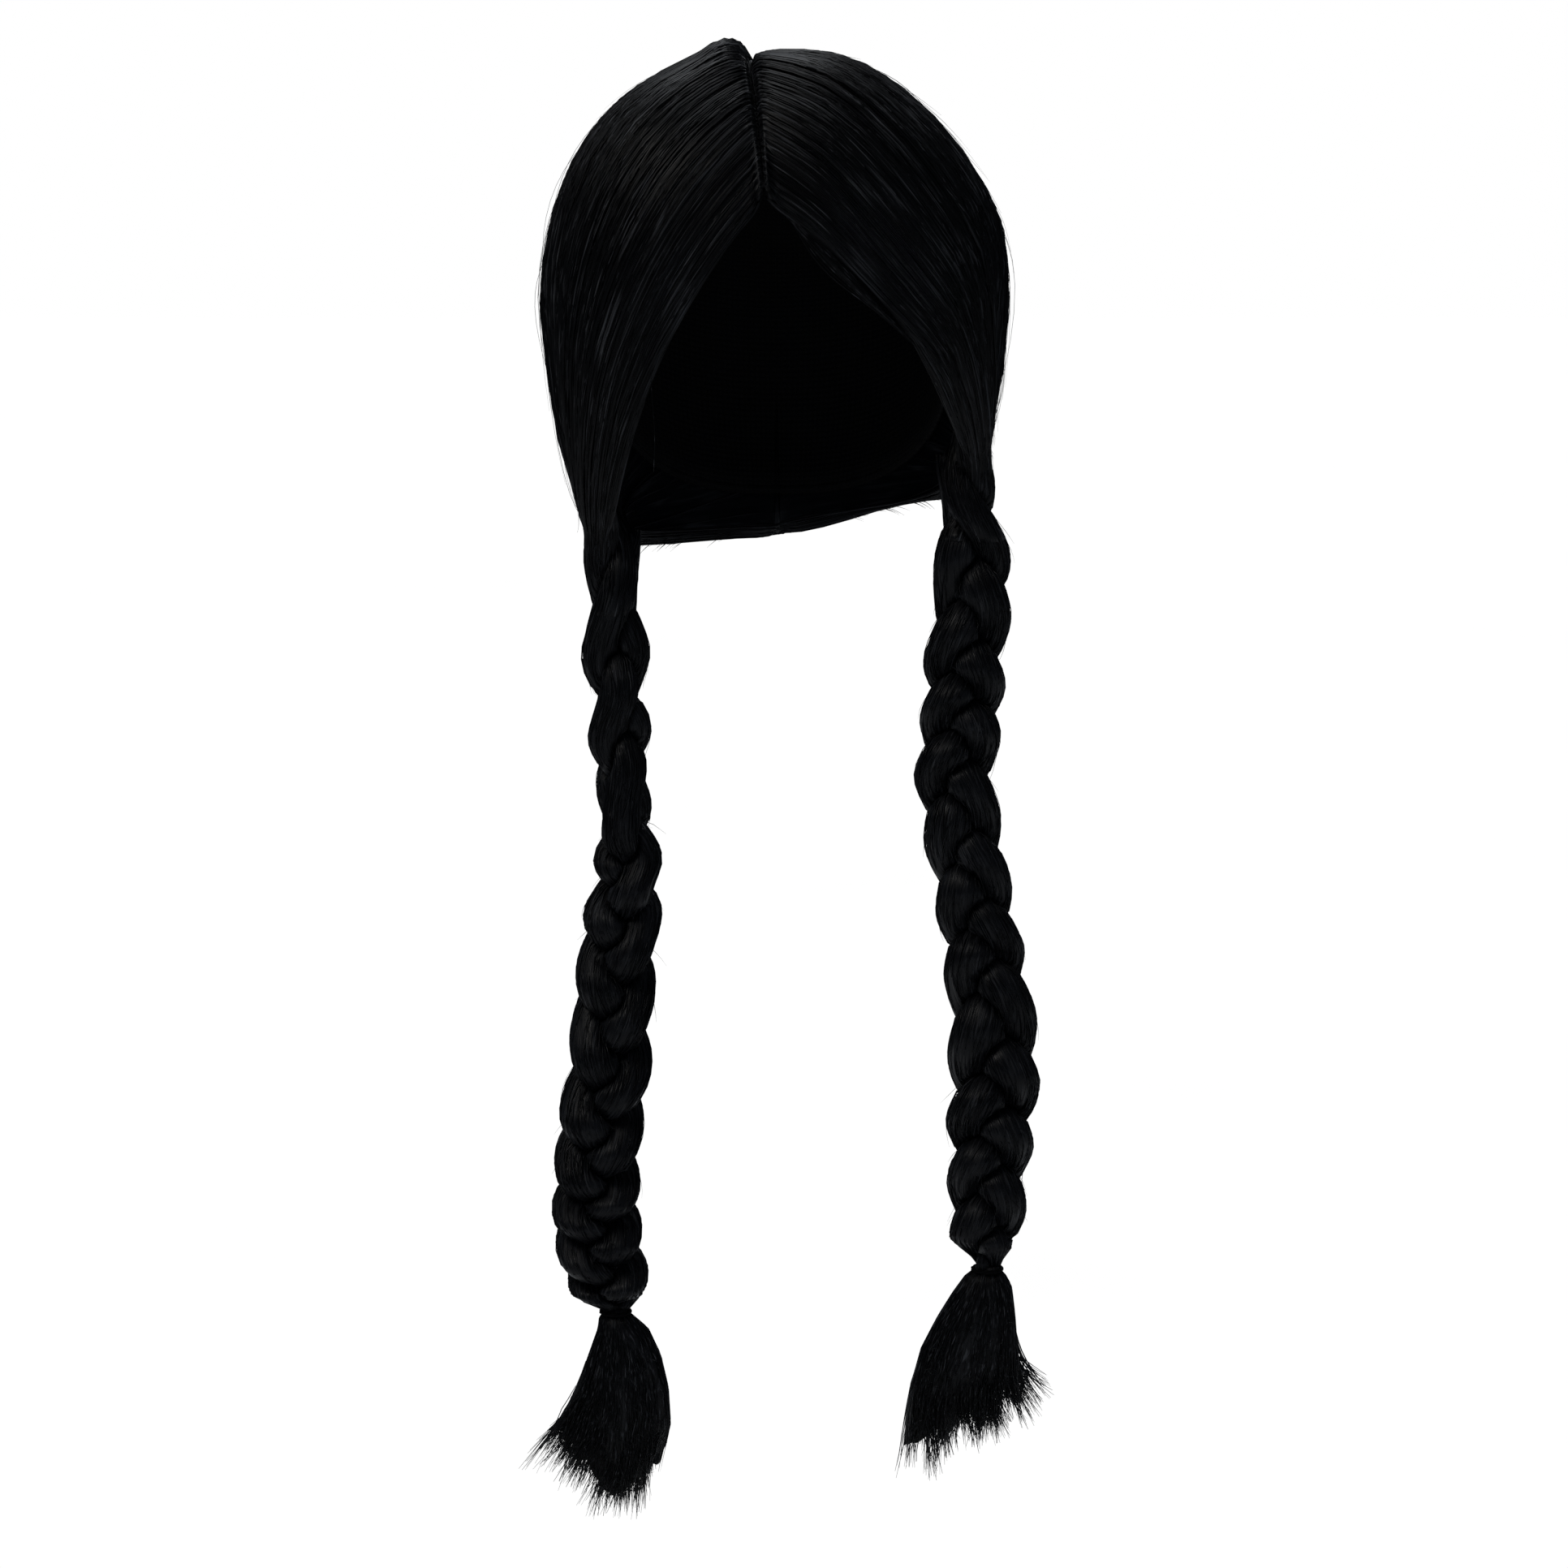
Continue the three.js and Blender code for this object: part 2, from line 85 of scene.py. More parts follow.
hairInset = hair["capWall"] + hair["seatGap"]
headLayer = layer(0, head["width"] / 2, head["below"])
capLayer = layer(hair["capWall"], head["width"] / 2 + hair["capWall"], head["below"] + hair["capWall"])
innerHair = layer(hairInset, hair["width"] / 2 - hair["wall"], hair["below"] - hair["wall"])
outerHair = layer(hairInset + hair["wall"], hair["width"] / 2, hair["below"])


def mix(low, high, share):
    return low + (high - low) * share


def smooth(value, low, high):
    share = np.clip((value - low) / (high - low), 0, 1)
    return share * share * (3 - 2 * share)


def hump(value, rise, fall):  # up over the first span and down over the second
    return smooth(value, *rise) * (1 - smooth(value, *fall))


def unit(vectors):
    return vectors / np.maximum(np.linalg.norm(vectors, axis=-1, keepdims=True), 1e-12)


def measure(way):  # the size of a direction on the layers' rounded-box measure
    return (np.abs(way) ** hair["power"]).sum(-1) ** (1 / hair["power"])


def onLayer(way, shell, lift=0.0):  # where a layer lies in a direction, moved out by a lift
    size = measure(way)
    point = np.stack(
        (
            way[..., 0] / size * shell["side"],
            way[..., 1] / size * np.where(way[..., 1] < 0, shell["front"], shell["back"]),
            way[..., 2] / size * np.where(way[..., 2] > 0, shell["up"], shell["down"]),
        ),
        -1,
    )
    length = np.linalg.norm(point, axis=-1, keepdims=True)
    return point * (1 + np.asarray(lift)[..., None] / length) + headCentre


def fromLayer(point):  # the direction of a point on the outer layer of hair
    way = point - headCentre
    way[..., 0] /= outerHair["side"]
    way[..., 1] /= np.where(way[..., 1] < 0, outerHair["front"], outerHair["back"])
    way[..., 2] /= np.where(way[..., 2] > 0, outerHair["up"], outerHair["down"])
    return unit(way)


def partingWay(along, shell, aside=0.0):
    angle = np.radians(mix(-parting["frontAngle"], parting["backAngle"], along))
    way = np.stack((np.zeros_like(angle), np.sin(angle), np.cos(angle)), -1)
    across = head["width"] * np.interp(along, parting["along"], parting["across"]) + aside
    way[..., 0] = across / shell["side"] * measure(way)
    return way


# random draws, the same each run


def even(random, span, count):  # one for each hair, as a column
    return random.uniform(*span, count)[:, None]


def near(random, spread, count):  # the same, most of them close to zero
    return random.normal(0, spread, count)[:, None]


def unevenly(random, span, rare, larger, count):  # within the span, but a rare share is larger
    return random.uniform(*span, count) * np.where(random.uniform(0, 1, count) < rare, larger, 1.0)


def noiseSheet(across, along, seed, acrossCount, alongCount):  # smooth, and it meets itself across
    values = np.random.default_rng(seed).uniform(-1, 1, (acrossCount + 2, alongCount + 2))
    values[acrossCount:] = values[:2]
    u, v = np.clip(across, 0, 1) * acrossCount, np.clip(along, 0, 1) * alongCount
    lowU, lowV = np.floor(u).astype(int), np.floor(v).astype(int)
    shareU, shareV = smooth(u - lowU, 0, 1), smooth(v - lowV, 0, 1)
    first = mix(values[lowU, lowV], values[lowU + 1, lowV], shareU)
    second = mix(values[lowU, lowV + 1], values[lowU + 1, lowV + 1], shareU)
    return mix(first, second, shareV)


def ridgeSheet(across, along, seed, sheets):  # each sheet has its height and its counts across and along
    height = 0
    for number, (tall, *counts) in enumerate(sheets):
        height = height + tall * noiseSheet(across, along, seed + number, *counts)
    return height


# meshes from rings and from tapered hairs


def evenTurns(count):
    return np.arange(count) / count * 2 * np.pi


class Body:  # gathers rings and hairs, then makes them one mesh
    def __init__(self):
        self.points, self.flows, self.quads, self.triangles = [], [], [], []
        self.count = 0

    def add(self, points, flows, quads, triangles):
        self.points.append(points.reshape(-1, 3))
        self.flows.append(flows.reshape(-1, 2))
        self.quads.append(quads.reshape(-1, 4) + self.count)
        self.triangles.append(triangles.reshape(-1, 3) + self.count)
        self.count += len(self.points[-1])

    def loft(self, rings, across, along):  # (rows, around, 3), closed round each ring and at both ends
        rows, around = rings.shape[:2]
        ids = np.arange(rows * around).reshape(rows, around)
        after = np.roll(ids, -1, axis=1)
        quads = np.stack((ids[:-1], after[:-1], after[1:], ids[1:]), -1)
        middles = np.stack((rings[0].mean(0), rings[-1].mean(0)))
        first, last = rows * around, rows * around + 1
        ends = [np.stack((after[0], ids[0], np.full(around, first)), -1)]
        ends.append(np.stack((ids[-1], after[-1], np.full(around, last)), -1))
        triangles = np.concatenate(ends)
        flows = np.stack(np.broadcast_arrays(across, along[:, None]), -1).reshape(-1, 2)
        flows = np.concatenate((flows, [[0.5, flows[0, 1]], [0.5, flows[-1, 1]]]))
        points = np.concatenate((rings.reshape(-1, 3), middles))
        if enclosed(points, quads.reshape(-1, 4)) < 0:
            quads, triangles = quads[..., ::-1], triangles[:, ::-1]
        self.add(points, flows, quads, triangles)

    def loop(self, rings, flows):  # the last ring meets the first
        ids = np.arange(rings.shape[0] * rings.shape[1]).reshape(rings.shape[:2])
        after, aside = np.roll(ids, -1, axis=0), np.roll(ids, -1, axis=1)
        quads = np.stack((ids, after, np.roll(after, -1, axis=1), aside), -1).reshape(-1, 4)
        if enclosed(rings.reshape(-1, 3), quads) < 0:
            quads = quads[:, ::-1]
        self.add(rings, np.stack(flows, -1), quads, np.zeros((0, 3), int))

    def hairs(self, paths, radii, outward, across, along):  # (hairs, steps, 3) paths as three-sided tubes
        hairCount, steps = paths.shape[:2]
        tangent = unit(np.gradient(paths, axis=1))
        aside = unit(np.cross(tangent, outward))
        upward = np.cross(aside, tangent)
        turns = evenTurns(3) + np.pi / 2
        rings = paths[:, :, None] + radii[:, :, None, None] * (
            np.cos(turns)[:, None] * aside[:, :, None] + np.sin(turns)[:, None] * upward[:, :, None]
        )
        ids = np.arange(hairCount * steps * 3).reshape(hairCount, steps, 3)
        after = np.roll(ids, -1, axis=2)
        quads = np.stack((ids[:, :-1], ids[:, 1:], after[:, 1:], after[:, :-1]), -1)
        triangles = np.concatenate((ids[:, 0], ids[:, -1][:, (0, 2, 1)]))
        u = np.broadcast_to(np.asarray(across)[:, None, None], (hairCount, steps, 3))
        v = np.broadcast_to(np.asarray(along).reshape(-1, steps, 1), (hairCount, steps, 3))
        self.add(rings, np.stack((u, v), -1), quads, triangles)

    def wisps(self, random, radius, thick, paths, outward, taper, steps):  # hairs of uneven thickness
        radii = radius * even(random, thick, len(paths)) * taper
        self.hairs(paths, radii, outward, random.uniform(0, 1, len(paths)), steps)

    def make(self, name, finish, slot, *nodes):
        points = np.concatenate(self.points)
        quads, triangles = np.concatenate(self.quads), np.concatenate(self.triangles)
        corners = np.concatenate((quads.ravel(), triangles.ravel()))
        starts = np.concatenate((np.arange(len(quads)) * 4, len(quads) * 4 + np.arange(len(triangles)) * 3))
        mesh = bpy.data.meshes.new(name)
        mesh.vertices.add(len(points))
        mesh.vertices.foreach_set("co", points.astype(np.float32).ravel())
        mesh.loops.add(len(corners))
        mesh.loops.foreach_set("vertex_index", corners.astype(np.int32))
        mesh.polygons.add(len(starts))
        mesh.polygons.foreach_set("loop_start", starts.astype(np.int32))
        mesh.update(calc_edges=True)
        flow = mesh.uv_layers.new(name="flow")
        flow.data.foreach_set("uv", np.concatenate(self.flows)[corners].astype(np.float32).ravel())
        mesh.polygons.foreach_set("use_smooth", np.ones(len(starts), bool))
        mesh.validate()
        mesh.materials.append(finish)
        piece = bpy.data.objects.new(name, mesh)
        bpy.context.collection.objects.link(piece)
        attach(piece, "root")
        if nodes:
            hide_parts(*nodes)
        print(name, len(quads) * 2 + len(triangles), "triangles")
        return piece


def enclosed(points, quads):  # six times the volume inside, negative where the faces look inwards
    a, b, c, d = (points[quads[:, i]] for i in range(4))
    return (a * np.cross(b, c)).sum() + (a * np.cross(c, d)).sum()


class Skin:  # rings of points round a form, read between the points
    def __init__(self, grid):
        self.grid = grid
        around = np.roll(grid, -1, axis=1) - np.roll(grid, 1, axis=1)
        self.outward = unit(np.cross(np.gradient(grid, axis=0), around))
        if ((grid - grid.mean(1, keepdims=True)) * self.outward).sum() < 0:
            self.outward = -self.outward

    def read(self, across, along):  # the point and the way out, both places from 0 to 1
        rows, columns = self.grid.shape[:2]
        u, v = np.mod(across, 1) * columns, np.clip(along, 0, 1) * (rows - 1)
        lowU = np.minimum(np.floor(u).astype(int), columns - 1)
        lowV = np.minimum(np.floor(v).astype(int), rows - 2)
        highU = (lowU + 1) % columns
        shareU, shareV = (u - lowU)[..., None], (v - lowV)[..., None]

        def between(table):
            first = mix(table[lowV, lowU], table[lowV, highU], shareU)
            second = mix(table[lowV + 1, lowU], table[lowV + 1, highU], shareU)
            return mix(first, second, shareV)

        return between(self.grid), unit(between(self.outward))


# finishes


class Wire:  # a socket that takes part in Python expressions
    def __init__(self, nodes, socket):
        self.nodes, self.socket = nodes, socket

    def maths(self, operation, *values):
        return self.nodes.node("ShaderNodeMath", {"operation": operation}, dict(enumerate(values)))

    def __add__(self, other):
        return self.maths("ADD", self, other)

    def __mul__(self, other):
        return self.maths("MULTIPLY", self, other)

    __radd__ = __add__
    __rmul__ = __mul__


class Nodes:  # a tree under construction
    def __init__(self, tree):
        self.tree = tree

    def node(self, kind, settings=None, inputs=None, output=0):
        made = self.tree.nodes.new(kind)
        for key, value in (settings or {}).items():
            setattr(made, key, value)
        for key, value in (inputs or {}).items():
            self.put(made.inputs[key], value)
        return Wire(self, made.outputs[output])

    def put(self, socket, value):
        if isinstance(value, Wire):
            self.tree.links.new(value.socket, socket)
        else:
            socket.default_value = value


class Finish(Nodes):  # a material under construction
    socketNames = {
        "baseColour": "Base Color",
        "roughness": "Roughness",
        "normal": "Normal",
        "specular": "Specular IOR Level",
    }

    def __init__(self, name):
        self.material = bpy.data.materials.new(name)
        self.material.use_nodes = True
        super().__init__(self.material.node_tree)
        self.shader = self.tree.nodes["Principled BSDF"]

    def colours(self, share, low, high):
        return self.node("ShaderNodeMix", {"data_type": "RGBA"}, {0: share, 6: low, 7: high}, 2)

    def flow(self, across, along, turn=0.0):  # the direction of the hair, drawn out along it
        inputs = {0: self.node("ShaderNodeUVMap", {"uv_map": "flow"}), 1: (across, along, 1), 2: (turn, 0, 0)}
        return self.node("ShaderNodeVectorMath", {"operation": "MULTIPLY_ADD"}, inputs)

    def noise(self, at, detail=2.0, scale=1.0):
        inputs = {"Vector": at, "Scale": scale, "Detail": detail, "Roughness": 0.5}
        return self.node("ShaderNodeTexNoise", None, inputs)

    def clear(self, value, low, high):  # 0 at low, 1 at high
        inputs = {"Value": value, "From Min": low, "From Max": high}
        return self.node("ShaderNodeMapRange", {"interpolation_type": "SMOOTHSTEP"}, inputs)

    def bump(self, height, strength, distance):
        inputs = {"Height": height, "Strength": strength, "Distance": distance}
        return self.node("ShaderNodeBump", None, inputs)

    def feed(self, **inputs):
        for key, value in inputs.items():
            self.put(self.shader.inputs[self.socketNames[key]], value)
        return self.material


hairFinish = {
    "dark": (0.0006, 0.0007, 0.001, 1),
    "soft": (0.0015, 0.0017, 0.0023, 1),
    # painted bounce light: a lighter ground that lifts the back hair out of its shade under the cap
    "paintedBounce": (0.0028, 0.0031, 0.004, 1),
    # painted highlights: a lighter colour laid in streaks along single hairs
    "paintedHighlight": (0.033, 0.0345, 0.038, 1),
    "paintedHighlightSpan": (0.54, 0.66),  # the noise of single hairs at which a painted highlight streak begins and is full
    "lockSpan": (0.36, 0.66),
    "evenPaintedHighlight": 0.3,  # the part of the painted highlight streaks' strength that is the same in every lock
    "smoothest": 0.27,
    "roughest": 0.6,
    "roughSpan": (0.3, 0.7),
    "hairRelief": 0.6,
    "relief": 0.0007,
    "specular": 0.09,
}
hairKinds = {  # ground colour, hairs and locks across and along a piece, strength of the painted highlight streaks
    "bundleBlack": ("dark", (230, 5), (60, 3), 1.0),
    "napeBlackPaintedBounce": ("paintedBounce", (230, 5), (60, 3), 0.4),
    "strandBlack": ("soft", (90, 20), (18, 10), 0.5),
    "looseBlack": ("dark", (130, 10), (24, 4), 1.0),
}


def makeHairFinish(name, ground, hairs, locks, paintedHighlightStrength):
    look, finish = hairFinish, Finish(name)
    fine, lock = finish.noise(finish.flow(*hairs)), finish.noise(finish.flow(*locks, 3.7))
    lockPaintedHighlight = look["evenPaintedHighlight"] + (1 - look["evenPaintedHighlight"]) * finish.clear(lock, *look["lockSpan"])
    # painted highlight streaks along single hairs, stronger in some locks, mixed into the base colour
    paintedHighlight = paintedHighlightStrength * (finish.clear(fine, *look["paintedHighlightSpan"]) * lockPaintedHighlight)
    sleek = look["roughest"] - look["smoothest"]
    relief = look["hairRelief"] * fine + (1 - look["hairRelief"]) * lock
    return finish.feed(
        baseColour=finish.colours(paintedHighlight, look[ground], look["paintedHighlight"]),
        roughness=look["smoothest"] + sleek * finish.clear(fine, *look["roughSpan"]),
        normal=finish.bump(relief, 1.0, look["relief"]),
        specular=look["specular"],
    )


hairBlack = {name: makeHairFinish(name, *kind) for name, kind in hairKinds.items()}
print("hair finishes made")


# the braids' courses, as in the solids

braid = {
    "width": 0.036,
    "gap": 0.0003,
    "swing": 0.2,
    "depth": 0.15,
    "wide": 0.32,
    "deep": 0.28,
    "fill": 1.3,
    "softness": 5,
    "neck": 0.0057,
    "wire": 0.0007,
    "sewnGap": 0.0004,
    "rootForward": 0.021,
    "rootSpread": 0.012,
    "rounding": 0.012,  # how far the corners of a course are eased, but less near its ends
    "endRounding": 0.03,
    "slope": 0.0012,  # how far above and below a place the other strands are felt
    "leastRoom": 0.0005,
}
courseColumns = ("down", "across", "width", "turn", "lobes")
plaits = {
    "right": {
        "out": -1,
        "rootAcross": -0.354,
        "rootDown": 0.189,
        "firstPhase": 120,
        "roll": 0.006,
        "slack": 0.0,
        "tieDown": 0.5345,
        "narrowing": 0.976,
        "course": np.array(
            (
                (0, 0, 0.74, -90, 0),
                (0.105, 0, 0.76, -138, 0.55),
                (0.209, 0.04, 0.76, -125, 1.52),
                (0.311, 0.08, 0.74, -100, 2.6),
                (0.389, 0.14, 0.76, -60, 3.15),
                (0.438, 0.15, 0.82, -35, 3.92),
                (0.505, 0.04, 0.9, -12, 4.78),
                (0.588, -0.03, 0.93, 0, 5.75),
                (0.683, -0.1, 0.97, 0, 6.75),
                (0.764, -0.22, 1, 0, 7.75),
                (0.838, -0.26, 1, 0, 8.75),
                (0.89, -0.27, 1.04, 0, 9.75),
                (0.952, -0.17, 1, 0, 10.75),
                (1, -0.04, 0.9, 0, 11.8),
            )
        ),
    },
    "left": {
        "out": 1,
        "rootAcross": 0.399,
        "rootDown": 0.156,
        "firstPhase": 300,
        "roll": 0.0,
        "slack": 0.006,
        "tieDown": 0.515,
        "narrowing": 0.958,
        "course": np.array(
            (
                (0, 0, 0.72, 90, 0),
                (0.078, 0.1, 0.78, 150, 0.5),
                (0.162, 0.16, 0.9, 172, 1.35),
                (0.246, 0.05, 0.92, 180, 2.25),
                (0.313, 0.03, 0.95, 180, 3.25),
                (0.387, -0.07, 0.92, 180, 4.25),
                (0.476, 0.08, 0.92, 180, 5.25),
                (0.559, 0.22, 0.9, 180, 6.25),
                (0.632, 0.35, 0.98, 180, 7.25),
                (0.737, 0.46, 1.08, 180, 8.25),
                (0.816, 0.42, 1.04, 180, 9.25),
                (0.889, 0.38, 0.95, 180, 10.25),
                (0.97, 0.35, 0.86, 180, 11.25),
                (1, 0.38, 0.75, 180, 11.8),
            )
        ),
    },
}
for plait in plaits.values():
    plait["root"] = np.array(
        (plait["rootAcross"] * hair["width"], head["middleY"] - braid["rootForward"], -plait["rootDown"])
    )


def readCourse(plait, column, down):  # the table's value, with its corners eased
    reach = braid["rounding"] * np.clip(np.minimum(down, 1 - down) / braid["endRounding"], 0, 1)
    rows = plait["course"]
    values = rows[:, courseColumns.index(column)]
    total = sum(np.interp(down + reach * step, rows[:, 0], values) for step in (-2, -1, 0, 1, 2))
    return total / 5


def braidAt(plait, down):  # the middle, and the place and half sizes of each strand
    width = braid["width"] * readCourse(plait, "width", down)
    gather = smooth(down, plait["narrowing"], 1)
    tied = braid["neck"] / 2
    swing, depth, wide, deep = (
        mix(width * braid[part], tied, gather) for part in ("swing", "depth", "wide", "deep")
    )
    turn = np.radians(readCourse(plait, "turn", down))
    middle = np.stack(
        (
            plait["root"][0] + braid["width"] * readCourse(plait, "across", down),
            np.full_like(down, plait["root"][1]),
            mix(plait["root"][2], -plait["tieDown"], down),
        ),
        -1,
    )
    phase = np.radians(plait["firstPhase"] + 120 * (readCourse(plait, "lobes", down)[:, None] + np.arange(3)))
    x, y = swing[:, None] * np.sin(phase), depth[:, None] * np.sin(2 * phase)
    cosine, sine = np.cos(turn)[:, None], np.sin(turn)[:, None]
    place = np.stack((x * cosine - y * sine, x * sine + y * cosine, np.zeros_like(x)), -1) + middle[:, None]
    return {"middle": middle, "turn": turn, "place": place, "swing": swing, "wide": wide, "deep": deep}


def strandSurface(plait, third, down, angles, gap):  # a strand, pressed flat where it meets the other two
    now = braidAt(plait, down)
    own = now["place"][:, third]
    angles = np.broadcast_to(angles, (len(down), np.shape(angles)[-1]))
    local = angles - now["turn"][:, None]
    way = np.stack((np.cos(angles), np.sin(angles)), -1)
    free = 1 / np.hypot(np.cos(local) / now["wide"][:, None], np.sin(local) / now["deep"][:, None])
    toMiddle = now["middle"][:, :2] - own[:, :2]
    apart = smooth(np.linalg.norm(toMiddle, axis=-1) / now["swing"], 0.25, 0.75)
    within = (way * unit(toMiddle)[:, None]).sum(-1)
    full = free * (1 + braid["fill"] * apart[:, None] * smooth(within, 0.2, 0.9))  # fills the braid's middle
    wall = np.full_like(full, 1.0)
    for step in (-braid["slope"], 0, braid["slope"]):
        beside = braidAt(plait, np.clip(down + step, 0, 1))["place"][..., :2]
        for other in range(3):
            if other == third:
                continue
            facing = unit(beside[:, other] - beside[:, third])
            room = (((beside[:, other] + beside[:, third]) / 2 - own[:, :2]) * facing).sum(-1) - gap / 2
            towards = (way * facing[:, None]).sum(-1)
            wall = np.minimum(wall, np.maximum(room, braid["leastRoom"])[:, None] / np.maximum(towards, 1e-6))
    soft = braid["softness"]
    reach = (full**-soft + wall**-soft) ** (-1 / soft)
    edge = np.concatenate((way, np.zeros_like(way[..., :1])), -1) * reach[..., None]
    return edge + own[:, None], wall / full


# the bundles of hair over the head

bundleNames = ("frontHair", "sideHair", "backHair")
bundles = {
    "frontHair": {
        "node": "front_hair",
        "start": 0.0,
        "end": 0.3,
        "lift": 0.1,
        "ribs": 3,
        "third": 0,
        "hairs": 760,
    },
    "sideHair": {
        "node": "side_hair",
        "start": 0.3,
        "end": 0.63,
        "lift": 0.12,
        "ribs": 4,
        "third": 2,
        "hairs": 700,
    },
    "backHair": {
        "node": "back_hair",
        "start": 0.63,
        "end": 1.0,
        "lift": 0.08,
        "ribs": 4,
        "third": 1,
        "hairs": 350,
    },
}
lay = {  # how the hair lies in every bundle
    "thinAtBundle": 0.12,
    "thinAtFree": 0.5,
    "gatherFrom": 0.6,
    "wallSpan": 50,
    "ribShare": 0.05,
    "margin": 0.0002,
    "overlap": 0.1,  # how far the hairs run on into the braid, as a share of its length
    "cover": 0.0005,  # and how thickly they lie on its strands there
    "sink": 0.0008,  # how deep they end in it
    "easing": 26,
    "rows": 84,
    "onward": 13,
    "across": 66,
    "edge": 5,
    "inside": 12,
    "locks": 64,
    "tufts": 36,
    "ridges": ((0.0005, 24, 4), (0.0003, 47, 6)),
    "radius": 0.00032,
    "lockHeight": 0.0012,
    "tallest": 0.00045,  # a single hair over its lock
    "napeLow": -0.2022,
    "crossing": 0.14,  # the share of hairs that lie across the others
}
ringPoints = lay["across"] + lay["inside"] + 2 * lay["edge"]


def bundleFace(plait, bundle, shares, fars, facing):
    along = mix(bundle["start"], bundle["end"], shares)
    shell = outerHair if facing > 0 else innerHair
    apart = (parting["rim"] if facing > 0 else parting["slot"]) / 2
    apart = apart * (1 - 1.9 * smooth(along, 0.84, 0.9))  # below the cap the two sides lie over each other
    start = unit(partingWay(along, shell, plait["out"] * apart))
    root = np.repeat(plait["root"][None], len(shares), 0)
    root[:, 1] += mix(-braid["rootSpread"], braid["rootSpread"], along)
    end = fromLayer(root)
    angle = np.arccos(np.clip((start * end).sum(-1), -1, 1))
    far = fars[:, None]
    held, taken = np.sin((1 - far) * angle) / np.sin(angle), np.sin(far * angle) / np.sin(angle)
    way = unit(held[..., None] * start + taken[..., None] * end)
    level = mix(way[..., 2], mix(start[:, 2], end[:, 2], far), smooth(along, 0.6, 1))
    way[..., :2] *= np.sqrt((1 - level**2) / (1 - way[..., 2] ** 2))[..., None]
    way[..., 2] = level
    thinFront = lay["thinAtFree"] if bundle["start"] == 0 else lay["thinAtBundle"]
    thinBack = lay["thinAtFree"] if bundle["end"] == 1 else lay["thinAtBundle"]
    thinner = thinFront * (1 - smooth(shares, 0, 0.25)) + thinBack * smooth(shares, 0.75, 1)
    rib = lay["ribShare"] * np.cos(2 * np.pi * bundle["ribs"] * shares)
    swell = bundle["lift"] * np.sin(np.pi * shares) - thinner + rib
    settled = smooth(far, 0, parting["rise"])
    rolled = hump(far, (0, 0.034), (0.054, 0.13)) * hump(along, (0.15, 0.3), (0.36, 0.6))
    slackened = hump(far, (0.12, 0.38), (0.42, 0.68))
    raised = hair["wall"] * swell * smooth(far, 0, 0.03) + plait["roll"] * rolled - plait["slack"] * slackened
    lift = raised - parting["depth"] * (1 - settled)
    return onLayer(way, shell, lift if facing > 0 else np.zeros_like(lift))


def landings(plait, bundle, shares, facing):  # the angles at which a bundle's hair meets its strand
    row = 90 - math.degrees(math.atan(braid["depth"] / braid["swing"]))
    frontCorner = 0 if bundle["start"] == 0 else lay["wallSpan"]
    backCorner = 0 if bundle["end"] == 1 else lay["wallSpan"]
    frontWall = 270 if bundle["start"] == 0 else row + 180
    backWall = 90 if bundle["end"] == 1 else row
    front = frontWall - facing * frontCorner
    back = backWall + facing * backCorner + (0 if facing > 0 else 360)
    angle = mix(front, back, shares)
    return np.radians(angle if plait["out"] < 0 else 180 - angle)


